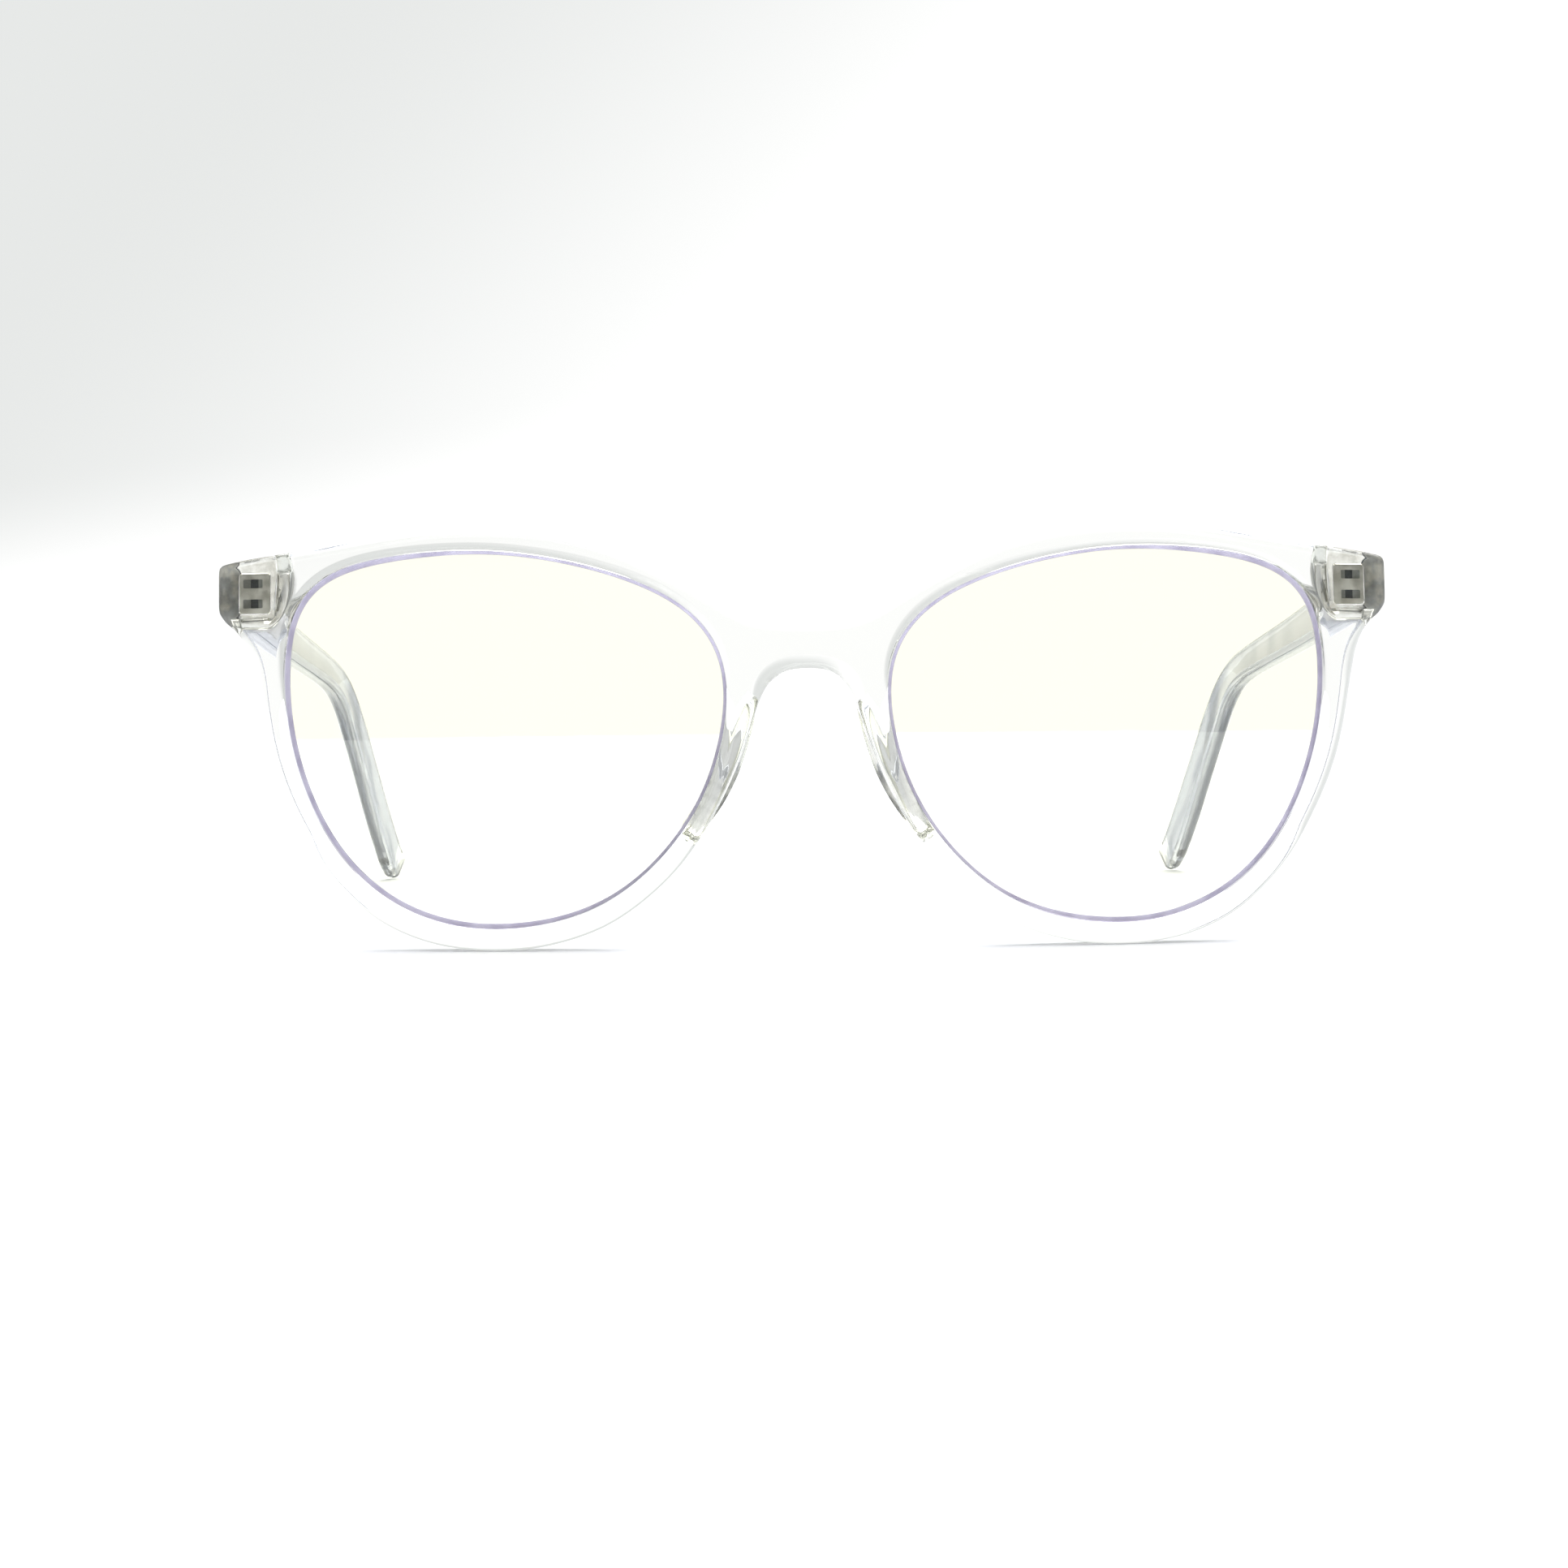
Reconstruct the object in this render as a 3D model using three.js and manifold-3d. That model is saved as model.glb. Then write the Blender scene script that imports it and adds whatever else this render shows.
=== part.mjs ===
// Clear blue-light glasses: a moulded crystal front with two lenses, nose pads,
// three-barrel metal hinges and two clear plastic temples.
// Millimetres, +Z up, the wearer looks along -Y, so the front faces -Y. The glasses
// stand open on the bottoms of the rims and the tips of the temples. "left" and
// "right" are the wearer's: left is +X. The origin is the bottom centre of the box.
// Every paired piece is built on the left and mirrored to the right.
import * as THREE from "three";
import { mergeVertices } from "three/addons/utils/BufferGeometryUtils.js";
import Module from "manifold-3d";

const wasm = await Module();
wasm.setup();
const { degToRad, smoothstep } = THREE.MathUtils;

// ---------------------------------------------------------------- dimensions
// Front
const LENS_X = 36.3; // boxed centre of each lens
const LENS_Z = 25.4;
const FRONT_T = 3.8; // thickness of the moulded front
const FRONT_ROUND = 0.8; // rounding of its edges
const BASE_R = 150; // radius of the lens and front curve
const WRAP_DEG = 5.5; // each lens turns back this much
const BRIDGE_X = 12; // the curve is faired across the bridge inside this half-width

// Lens edge and its groove: thickness, then reach and half-width of the V
const LENS = { thick: 2.0, reach: 0.5, half: 0.75 };
const GROOVE = { thick: LENS.thick + 0.5, reach: LENS.reach + 0.3, half: 1.1 };
const LENS_EDGE_INSET = 0.35; // faces stop this far inside the lens outline
const LENS_STEPS = 40; // points round a lens

// Endpieces
const OUTER_X = 70.4; // half of the overall width
const END_BACK_Y = 13.2; // flat back, where the temple butts
const END_IN_X = 62.9;
const END_Z0 = 39.6;
const END_Z1 = 45.9;
const END_ROOT = 0.4; // the block starts this far behind the middle surface

// Hinges
const HINGE_X = 65.95;
const HINGE_Y = END_BACK_Y + 1.5;
const HINGE_Z = 42.65;
const BARREL_R = 1.2;
const BORE_R = 0.68;
const LEAF_H = 1.2; // height of each front barrel
const LEAF_GAP = 1.2; // slot between them, for the temple's barrel
const BARREL_PLAY = 0.12; // room above and below the temple's barrel
const PLATE_CLEAR = 0.1; // room round each plate in its pocket
const FRONT_PLATE = { width: 4.1, height: 4.8, deep: 1.4, outerTrim: 0.3 };
const WINDOW = { x: [64.85, 67.25], deep: 0.8, inset: 0.08 };
const SCREW = { radius: 0.52, headRadius: 0.95, lift: 0.1, headTop: 0.6, overlap: 0.05 };
const SCREW_SLOT = { halfWidth: 0.14, floor: 0.35 }; // floor is above the top barrel

// Temples
const JOINT_GAP = 0.3; // endpiece to temple when open
const TEMPLE_T = 2.9; // thickness at the hinge
const TEMPLE_TIP_T = 2.6;
const TEMPLE_STRAIGHT_Y = 40; // straight and of even thickness up to here
const TEMPLE_END_Y = 135; // full bow and tip thickness would be reached here
const TEMPLE_BOW = 6.4; // how far the tip leans in
const TEMPLE_BOW_POWER = 1.8;
const TEMPLE_STEPS = 28;
// The drop is turned about its own length, upper edge inwards, between two y
const DROP_TURN = { angle: degToRad(18), startY: 82, endY: 108 };
// Corner rounding of the section, as a part of its thickness and its height
const CORNER = { thick: 0.204, high: 0.1156 };
// The last steps, from the fraction "step" on, crowd past "line" on the centre line
// and shrink towards "size"; "sweep" is the part of a quarter turn they use.
const TIP = { step: 0.8, line: 0.972, size: 0.55, sweep: 0.93 };

// Nose pad: centre, half sizes along x, y, z, and how its surface departs from a ball
const PAD = {
  y: 4.9,
  z: 22.0,
  rx: 1.65,
  ry: 4.4,
  rz: 9.2,
  inset: 1.5, // from the rim's nose-side edge, away from the nose
  topLean: 0.4, // the top comes back towards the nose
  slimX: 0.22, // narrowing in x towards the top
  slimY: 0.25, // narrowing in y towards the top
  splay: 0.36, // x gained per y towards the back
  gap: 0.22, // behind the back of the rim
};

// ------------------------------------------------------------------- tables
// Lens outline: radius every 5 degrees from the temple side, upwards.
const LENS_RADII = [
  25.35, 25.78, 26.3, 26.88, 27.52, 28.18, 28.78, 29.08, 28.77, 27.99, 26.96, 25.92,
  24.95, 24.12, 23.44, 22.9, 22.48, 22.18, 21.98, 21.88, 21.88, 21.99, 22.2, 22.54,
  22.98, 23.54, 24.2, 24.96, 25.78, 26.57, 27.21, 27.62, 27.72, 27.54, 27.16, 26.68,
  26.18, 25.76, 25.38, 25.0, 24.65, 24.33, 24.04, 23.8, 23.6, 23.44, 23.31, 23.2,
  23.1, 22.99, 22.89, 22.82, 22.78, 22.78, 22.82, 22.92, 23.05, 23.17, 23.3, 23.43,
  23.56, 23.67, 23.76, 23.83, 23.89, 23.95, 24.02, 24.1, 24.22, 24.4, 24.65, 24.96,
];
// Outline of the front's +X half as [x, z]: bridge top to endpiece, round its end,
// and back under the lens to the bridge.
const TOP_LINE = [
  [0, 38.4], [3.6, 38.55], [6.7, 39.1], [9.6, 40.6], [13.8, 43.1], [17.4, 44.95],
  [20.5, 46.5], [23.4, 47.7], [26.5, 48.65], [30.5, 49.55], [36, 50.1],
  [41.5, 50.2], [45.5, 50.0], [50.3, 49.4], [55, 48.65], [60.5, 47.8],
  [64.5, 47.2], [67, 46.85], [68.8, 46.5],
];
const END_LINE = [
  [69.75, 46.05], [70.27, 45.4], [OUTER_X, 44.6], [OUTER_X, 42.8], [OUTER_X, 41.0],
  [70.2, 40.1],
];
const LOW_LINE = [
  [69.5, 39.3], [68.3, 38.3], [67.3, 37.0], [66.6, 35.2], [66.0, 32.2],
  [65.4, 28.8], [64.7, 25.0], [63.7, 21.3], [62.3, 17.8], [60.3, 13.9],
  [58.1, 10.4], [55.2, 7.0], [51.7, 3.9], [48.2, 2.0], [44.5, 0.75],
  [40.5, 0.12], [36.6, 0.0], [32.5, 0.3], [28.6, 1.15], [24.5, 2.65],
  [21.0, 4.75], [17.8, 7.35], [15.2, 10.0], [12.9, 13.1], [11.0, 16.3],
  [9.6, 19.0], [8.3, 21.9], [7.3, 24.6], [6.5, 27.0], [5.8, 29.1],
  [4.95, 30.95], [3.9, 32.15], [2.3, 32.85], [0, 33.0],
];
// Endpiece block: [x, z] at the flat back, and [x, z] where it leaves the rim.
const END_RING = [
  [[END_IN_X + 0.1, END_Z0 + 0.9], [62.3, END_Z0 + 0.4]],
  [[END_IN_X + 0.8, END_Z0 + 0.1], [END_IN_X + 0.5, END_Z0 - 0.4]],
  [[OUTER_X - 0.9, END_Z0], [OUTER_X - 0.9, END_Z0]],
  [[OUTER_X, END_Z0 + 0.9], [OUTER_X, END_Z0 + 0.9]],
  [[OUTER_X, END_Z1 - 0.9], [OUTER_X, END_Z1 - 0.9]],
  [[OUTER_X - 0.9, END_Z1], [OUTER_X - 0.9, END_Z1]],
  [[END_IN_X + 0.9, END_Z1], [61.9, END_Z1]],
  [[END_IN_X + 0.2, END_Z1 - 0.6], [61.0, END_Z1 - 0.8]],
  [[END_IN_X, END_Z1 - 2.4], [60.7, END_Z1 - 2.4]],
  [[END_IN_X - 0.03, END_Z0 + 2.3], [61.4, END_Z0 + 2.0]],
];
// Centre line of a temple seen from the side: [y, z, height].
const TEMPLE_LINE = [
  [END_BACK_Y + JOINT_GAP, 42.75, 6.3], [26, 41.15, 6.0], [41.5, 39.2, 5.5],
  [60, 36.85, 5.0], [75, 34.9, 4.7], [86, 33.2, 4.55], [93, 31.5, 4.5],
  [99, 28.8, 4.5], [105.5, 24.2, 4.6], [114, 17.1, 4.8], [123, 9.4, 5.0],
  [130, 3.85, 4.9], [133.9934, 1.7295, 4.6],
];

// ------------------------------------------------------------------- helpers
// Manifold solid from a closed geometry; strips every attribute but position.
const closed = (geometry) => {
  for (const name of Object.keys(geometry.attributes)) {
    if (name !== "position") geometry.deleteAttribute(name);
  }
  const merged = mergeVertices(geometry, 1e-4);
  return new wasm.Manifold(
    new wasm.Mesh({
      numProp: 3,
      vertProperties: merged.attributes.position.array,
      triVerts: new Uint32Array(merged.index.array),
    }),
  );
};

const geometryOf = (solid) => {
  const mesh = solid.getMesh();
  const geometry = new THREE.BufferGeometry()
    .setAttribute("position", new THREE.BufferAttribute(new Float32Array(mesh.vertProperties), 3))
    .setIndex(new THREE.BufferAttribute(new Uint32Array(mesh.triVerts), 1));
  geometry.computeVertexNormals();
  return geometry;
};

// Moves every vertex of a geometry: move(x, y, z, index) gives the new [x, y, z].
const mapped = (geometry, move) => {
  const p = geometry.attributes.position;
  for (let i = 0; i < p.count; i++) {
    p.setXYZ(i, ...move(p.getX(i), p.getY(i), p.getZ(i), i));
  }
  return geometry;
};

// Reverses the winding of every face.
const flipped = (geometry) => {
  const loose = geometry.index ? geometry.toNonIndexed() : geometry;
  const p = loose.attributes.position;
  for (let i = 0; i < p.count; i += 3) {
    const [second, third] = [1, 2].map((k) => [p.getX(i + k), p.getY(i + k), p.getZ(i + k)]);
    p.setXYZ(i + 1, ...third);
    p.setXYZ(i + 2, ...second);
  }
  return loose;
};

// Solid whose faces are turned out whatever the winding of the geometry.
const facingOut = (geometry) => {
  const solid = closed(geometry);
  return solid.volume() < 0 ? closed(flipped(geometry)) : solid;
};

// Mirrors a solid in the YZ plane.
const mirrored = (solid) =>
  closed(flipped(mapped(geometryOf(solid), (x, y, z) => [-x, y, z])));

// Ranges [from, to] and boxes made of them
const around = (centre, half) => [centre - half, centre + half];
const grown = ([from, to], by) => [from - by, to + by];
const box = ([x0, x1], [y0, y1], [z0, z1]) =>
  closed(
    new THREE.BoxGeometry(x1 - x0, y1 - y0, z1 - z0).translate(
      (x0 + x1) / 2,
      (y0 + y1) / 2,
      (z0 + z1) / 2,
    ),
  );

// Upright cylinder on the left hinge's axis.
const hingeCylinder = (radius, [z0, z1], segments) =>
  closed(
    new THREE.CylinderGeometry(radius, radius, z1 - z0, segments)
      .rotateX(Math.PI / 2)
      .translate(HINGE_X, HINGE_Y, (z0 + z1) / 2),
  );

const curveThrough = (points) =>
  new THREE.CatmullRomCurve3(
    points.map(([x, y, z = 0]) => new THREE.Vector3(x, y, z)),
    false,
    "centripetal",
  );
const smoothLine = (points, steps) =>
  curveThrough(points)
    .getSpacedPoints(steps)
    .map(({ x, y }) => [x, y]);

// ------------------------------------------------------ curve of the front
// Parabola over each lens; inside BRIDGE_X an even quartic that meets it with the
// same slope and curvature, and lies at y = 0 on the centre plane.
const WRAP_SLOPE = Math.tan(degToRad(WRAP_DEG));
const lensCurve = (x) => WRAP_SLOPE * (x - LENS_X) + (x - LENS_X) ** 2 / (2 * BASE_R);
const JOIN_SLOPE = WRAP_SLOPE + (BRIDGE_X - LENS_X) / BASE_R;
const QUARTIC = (1 / BASE_R - JOIN_SLOPE / BRIDGE_X) / (8 * BRIDGE_X ** 2);
const QUADRATIC = (JOIN_SLOPE - 4 * QUARTIC * BRIDGE_X ** 3) / (2 * BRIDGE_X);
const bridgeCurve = (x) => QUADRATIC * x * x + QUARTIC * x ** 4;
const CURVE_SHIFT = lensCurve(BRIDGE_X) - bridgeCurve(BRIDGE_X);
const curveAcross = (x) => {
  const side = Math.abs(x);
  return side >= BRIDGE_X ? lensCurve(side) - CURVE_SHIFT : bridgeCurve(side);
};
// y of the middle surface of the front and of the lenses
const midY = (x, z) => curveAcross(x) + (z - LENS_Z) ** 2 / (2 * BASE_R) + FRONT_T / 2;

// ------------------------------------------------------------------- lenses
// Catmull-Rom through LENS_RADII, for an angle from 0 up to a full turn.
const lensRadius = (angle) => {
  const count = LENS_RADII.length;
  const place = (angle / (2 * Math.PI)) * count;
  const i = Math.floor(place);
  const f = place - i;
  const [before, from, to, after] = [-1, 0, 1, 2].map((k) => LENS_RADII[(i + k + count) % count]);
  const cubic = 3 * (from - to) + after - before;
  const square = 2 * before - 5 * from + 4 * to - after;
  return from + 0.5 * f * (to - before + f * (square + f * cubic));
};

// [x, z] at one step round the left lens, at a fraction of its grown radius.
const lensPoint = (step, fraction = 1, growth = 0) => {
  const angle = (2 * Math.PI * step) / LENS_STEPS;
  const radius = fraction * (lensRadius(angle) + growth);
  return [LENS_X + radius * Math.cos(angle), LENS_Z + radius * Math.sin(angle)];
};

// Left lens-shaped solid with a V edge.
const lensSolid = ({ thick, reach, half }) => {
  // [fraction of radius, growth, y], from the back centre round to the front centre
  const face = thick / 2;
  const profile = [
    [0, 0, face], [0.3, 0, face], [0.62, 0, face], [1, -LENS_EDGE_INSET, face],
    [1, reach - half, half * 0.98], [1, reach, 0], [1, reach - half, -half * 0.98],
    [1, -LENS_EDGE_INSET, -face], [0.62, 0, -face], [0.3, 0, -face], [0, 0, -face],
  ];
  // The lathe only supplies the faces; every vertex is placed anew.
  const lathe = new THREE.LatheGeometry(
    profile.map(([fraction, , y]) => new THREE.Vector2(fraction, y)),
    LENS_STEPS,
  );
  const place = (_x, _y, _z, i) => {
    const [fraction, growth, y] = profile[i % profile.length];
    const step = Math.floor(i / profile.length) % LENS_STEPS;
    const [x, z] = lensPoint(step, fraction, growth);
    return [x, midY(x, z) + y, z];
  };
  return facingOut(mapped(lathe, place));
};

// -------------------------------------------------------------------- front
const lowEdge = smoothLine(LOW_LINE, 54);

// Curved plate with rounded edges and two lens openings.
const frontPlateBlank = () => {
  const half = [...smoothLine(TOP_LINE, 34), ...END_LINE, ...lowEdge];
  const otherHalf = half.slice(1, -1).reverse().map(([x, z]) => [-x, z]);
  const outline = [...half, ...otherHalf].map(([x, z]) => new THREE.Vector2(x, z));
  const shape = new THREE.Shape(outline.reverse());
  for (const side of [1, -1]) {
    const hole = [];
    for (let step = 0; step < LENS_STEPS; step++) {
      const [x, z] = lensPoint(step);
      hole.push(new THREE.Vector2(side * x, z));
    }
    shape.holes.push(new THREE.Path(hole));
  }
  const blank = new THREE.ExtrudeGeometry(shape, {
    depth: FRONT_T - 2 * FRONT_ROUND,
    bevelEnabled: true,
    bevelThickness: FRONT_ROUND,
    bevelSize: FRONT_ROUND,
    bevelOffset: -FRONT_ROUND,
    bevelSegments: 2,
  });
  // the depth is turned to run along -Y, centred on the middle surface
  const middle = FRONT_T / 2 - FRONT_ROUND;
  return closed(mapped(blank, (x, y, z) => [x, midY(x, y) - (z - middle), y]));
};

// Left endpiece block: flat at the back, with a shoulder sloping down to the rim.
const endpiece = () => {
  const shape = new THREE.Shape(END_RING.map(([[x, z]]) => new THREE.Vector2(x, z)));
  const block = new THREE.ExtrudeGeometry(shape, { depth: 1, bevelEnabled: false });
  return closed(
    mapped(block, (x, y, z) => {
      if (z < 0.5) return [x, END_BACK_Y, y];
      const [, [rootX, rootZ]] = END_RING.find(([[a, b]]) => Math.hypot(a - x, b - y) < 1e-3);
      return [rootX, midY(rootX, rootZ) + END_ROOT, rootZ];
    }),
  );
};

// x and z ranges of the left front hinge plate
const FRONT_PLATE_X = [
  HINGE_X - FRONT_PLATE.width / 2,
  HINGE_X + FRONT_PLATE.width / 2 - FRONT_PLATE.outerTrim,
];
const FRONT_PLATE_Z = around(HINGE_Z, FRONT_PLATE.height / 2);

const frameFront = () => {
  const block = endpiece();
  const pocket = box(
    grown(FRONT_PLATE_X, PLATE_CLEAR),
    [END_BACK_Y - FRONT_PLATE.deep - PLATE_CLEAR, END_BACK_Y + 1],
    grown(FRONT_PLATE_Z, PLATE_CLEAR),
  );
  let front = frontPlateBlank().add(block).add(mirrored(block));
  for (const cutter of [pocket, lensSolid(GROOVE)]) {
    front = front.subtract(cutter).subtract(mirrored(cutter));
  }
  return front;
};

// ----------------------------------------------------------------- nose pads
// x of the rim's nose-side edge, where the low edge climbs past height z
const noseEdge = (z) => {
  const i = lowEdge.findIndex(([, top], k) => k > 0 && lowEdge[k - 1][1] <= z && top >= z);
  const [x0, z0] = lowEdge[i - 1];
  const [x1, z1] = lowEdge[i];
  return x0 + ((x1 - x0) * (z - z0)) / (z1 - z0);
};

// A long ridge behind the nose side of the rim, following its edge.
const nosePad = () => {
  // the ball's y axis becomes the pad's long axis, along Z
  const ball = mapped(new THREE.SphereGeometry(1, 20, 18), (across, along, back) => {
    const z = PAD.z + along * PAD.rz;
    const depth = back * PAD.ry * (1 - PAD.slimY * along);
    const lean = PAD.topLean * Math.max(0, along) ** 2;
    const width = across * PAD.rx * (1 - PAD.slimX * along);
    const x = noseEdge(z) + PAD.inset - lean + width + PAD.splay * depth;
    return [x, PAD.y + depth, z];
  });
  // everything in front of the curved back of the rim is cut away
  const cutter = mapped(
    new THREE.BoxGeometry(24, 1, 40, 8, 1, 12).translate(12, 0, 22),
    (x, y, z) => [x, y > 0 ? midY(x, z) + FRONT_T / 2 + PAD.gap : -10, z],
  );
  return facingOut(ball).subtract(closed(cutter));
};

// ------------------------------------------------------------------ hinges
const SLOT_Z = around(HINGE_Z, LEAF_GAP / 2); // between the two front barrels
const [HINGE_BOTTOM, HINGE_TOP] = grown(SLOT_Z, LEAF_H);
const LEAVES_Z = [
  [HINGE_BOTTOM, SLOT_Z[0]],
  [SLOT_Z[1], HINGE_TOP],
];
const barrel = (zRange) => hingeCylinder(BARREL_R, zRange, 20);
const bore = () => hingeCylinder(BORE_R, [HINGE_BOTTOM - 1, HINGE_TOP + 1], 16);

// Plate let into the endpiece, with two barrels behind it.
const frontHinge = () => {
  const plateFrontY = END_BACK_Y - FRONT_PLATE.deep;
  let hinge = box(FRONT_PLATE_X, [plateFrontY, END_BACK_Y], FRONT_PLATE_Z);
  // two windows in the hidden front side of the plate, level with the barrels
  for (const leafZ of LEAVES_Z) {
    const windowY = [plateFrontY - 1, plateFrontY + WINDOW.deep];
    hinge = hinge.subtract(box(WINDOW.x, windowY, grown(leafZ, -WINDOW.inset)));
  }
  for (const leafZ of LEAVES_Z) {
    const neck = box(around(HINGE_X, BARREL_R), [END_BACK_Y - 0.4, HINGE_Y], leafZ);
    hinge = hinge.add(barrel(leafZ).add(neck));
  }
  return hinge.subtract(bore());
};

// Plate in the temple's inner face, standing slightly proud of it
const TEMPLE_IN_X = OUTER_X - TEMPLE_T;
const TEMPLE_PLATE = {
  x: [TEMPLE_IN_X - 0.15, TEMPLE_IN_X + 0.95],
  y: [HINGE_Y - 0.5, HINGE_Y + 8.6],
  z: around(HINGE_Z, 1.9),
};

const templeHinge = () => {
  const { x, y, z } = TEMPLE_PLATE;
  const barrelZ = grown(SLOT_Z, -BARREL_PLAY);
  const arm = box([HINGE_X, x[0] + 0.4], [y[0], HINGE_Y + BARREL_R], barrelZ);
  return box(x, y, z).add(barrel(barrelZ)).add(arm).subtract(bore());
};

// Screw with a slotted head above the top barrel.
const hingeScrew = () => {
  const shankZ = [HINGE_BOTTOM + SCREW.lift, HINGE_TOP + SCREW.lift];
  const headZ = [HINGE_TOP + SCREW.overlap, HINGE_TOP + SCREW.headTop];
  const slot = box(
    around(HINGE_X, 2),
    around(HINGE_Y, SCREW_SLOT.halfWidth),
    [HINGE_TOP + SCREW_SLOT.floor, HINGE_TOP + 1],
  );
  return hingeCylinder(SCREW.radius, shankZ, 16)
    .add(hingeCylinder(SCREW.headRadius, headZ, 16))
    .subtract(slot);
};

// ----------------------------------------------------------------- temples
// Unit section with rounded corners: x is the thickness, y the height.
const templeSection = () => {
  const points = [];
  for (const [sideX, sideY, start] of [[1, 1, 0], [-1, 1, 90], [-1, -1, 180], [1, -1, 270]]) {
    for (const step of [0, 30, 60, 90]) {
      const angle = degToRad(start + step);
      points.push(
        new THREE.Vector2(
          sideX * (0.5 - CORNER.thick) + CORNER.thick * Math.cos(angle),
          sideY * (0.5 - CORNER.high) + CORNER.high * Math.sin(angle),
        ),
      );
    }
  }
  return new THREE.Shape(points);
};

const temple = () => {
  const line = curveThrough(TEMPLE_LINE);
  // u across the thickness, v up the height, w from the hinge to the tip
  const place = (u, v, w) => {
    // steps slow down near the tip so that it can round off
    const tipAngle = (Math.max(0, (w - TIP.step) / (1 - TIP.step)) * Math.PI) / 2;
    const s =
      w < TIP.step
        ? (w / TIP.step) * TIP.line
        : TIP.line + (1 - TIP.line) * Math.sin(tipAngle);
    const size = TIP.size + (1 - TIP.size) * Math.cos(tipAngle * TIP.sweep);
    const { x: lineY, y: lineZ, z: lineHeight } = line.getPoint(s);

    // direction of the line, blended to square with Y at the hinge end
    const ahead = line.getPoint(Math.min(1, s + 1e-3));
    const behind = line.getPoint(Math.max(0, s - 1e-3));
    const dy = ahead.x - behind.x;
    const dz = ahead.y - behind.y;
    const length = Math.hypot(dy, dz);
    const blend = Math.min(1, s / 0.06);
    const alongY = (dy / length) * blend + (1 - blend);
    const alongZ = (dz / length) * blend;
    const norm = Math.hypot(alongY, alongZ);

    const straight = TEMPLE_STRAIGHT_Y;
    const bent = Math.max(0, (lineY - straight) / (TEMPLE_END_Y - straight));
    const across = u * (TEMPLE_T + (TEMPLE_TIP_T - TEMPLE_T) * bent) * size;
    const high = v * lineHeight * size;
    const turn = DROP_TURN.angle * smoothstep(lineY, DROP_TURN.startY, DROP_TURN.endY);
    const side = across * Math.cos(turn) - high * Math.sin(turn);
    const up = high * Math.cos(turn) + across * Math.sin(turn);
    return [
      OUTER_X - TEMPLE_T / 2 + side - TEMPLE_BOW * bent ** TEMPLE_BOW_POWER,
      lineY - (alongZ / norm) * up,
      lineZ + (alongY / norm) * up,
    ];
  };
  const bar = new THREE.ExtrudeGeometry(templeSection(), {
    depth: 1,
    steps: TEMPLE_STEPS,
    bevelEnabled: false,
  });
  const { x, y, z } = TEMPLE_PLATE;
  const pocket = box(
    [x[0] - 1, x[1] + PLATE_CLEAR],
    grown(y, PLATE_CLEAR),
    grown(z, PLATE_CLEAR),
  );
  return facingOut(mapped(bar, place)).subtract(pocket);
};

// --------------------------------------------------------------- materials
const plastic = (color, roughness, opacity) =>
  new THREE.MeshStandardMaterial({ color, roughness, metalness: 0, transparent: true, opacity });
const clear = () => plastic(0xeef2f3, 0.06, 0.35);
const tinted = () => plastic(0xfaf6dc, 0.03, 0.3);
const steel = () =>
  new THREE.MeshStandardMaterial({ color: 0x8d9093, roughness: 0.35, metalness: 1 });

// ---------------------------------------------------------------- assembly
const root = new THREE.Group();
const place = (name, solid, material) => {
  const mesh = new THREE.Mesh(geometryOf(solid), material);
  mesh.name = name;
  root.add(mesh);
};

place("frame_front", frameFront(), clear());
for (const [name, solid, material] of [
  ["lens", lensSolid(LENS), tinted],
  ["nose_pad", nosePad(), clear],
  ["front_hinge", frontHinge(), steel],
  ["temple_hinge", templeHinge(), steel],
  ["hinge_screw", hingeScrew(), steel],
  ["temple", temple(), clear],
]) {
  place(`${name}_left`, solid, material());
  place(`${name}_right`, mirrored(solid), material());
}

// the origin goes to the bottom centre of the whole box
root.updateMatrixWorld(true);
const whole = new THREE.Box3().setFromObject(root, true);
for (const mesh of root.children) {
  mesh.position.y = -(whole.min.y + whole.max.y) / 2;
  mesh.position.z = -whole.min.z;
}

export default root;
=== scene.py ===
"""A pair of clear plastic glasses with tinted lenses, on a pale floor.

Shapes are designed in millimetres: x across with x = 0 in the middle of the bridge and the
wearer's left at +x, y from the front of the frame back along the temples, z up. The left
parts are modelled and the right ones mirrored from them.
"""
import math

import bmesh
import bpy
import numpy as np
from mathutils import Matrix, Vector
from mathutils.geometry import delaunay_2d_cdt


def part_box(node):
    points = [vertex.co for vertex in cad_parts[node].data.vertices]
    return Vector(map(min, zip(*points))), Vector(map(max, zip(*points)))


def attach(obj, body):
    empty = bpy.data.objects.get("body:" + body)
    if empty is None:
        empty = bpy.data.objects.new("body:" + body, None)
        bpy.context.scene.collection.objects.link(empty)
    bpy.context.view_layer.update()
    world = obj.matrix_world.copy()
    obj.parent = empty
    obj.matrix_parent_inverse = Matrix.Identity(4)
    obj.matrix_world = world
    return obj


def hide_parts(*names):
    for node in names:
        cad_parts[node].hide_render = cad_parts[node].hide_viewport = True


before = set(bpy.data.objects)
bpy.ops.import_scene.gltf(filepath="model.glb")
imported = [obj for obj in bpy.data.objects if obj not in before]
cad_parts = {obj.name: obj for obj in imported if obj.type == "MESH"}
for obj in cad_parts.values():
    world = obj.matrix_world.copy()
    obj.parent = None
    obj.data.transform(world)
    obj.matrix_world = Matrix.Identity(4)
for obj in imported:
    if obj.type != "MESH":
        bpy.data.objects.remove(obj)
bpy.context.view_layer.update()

MM = 0.001

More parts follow.
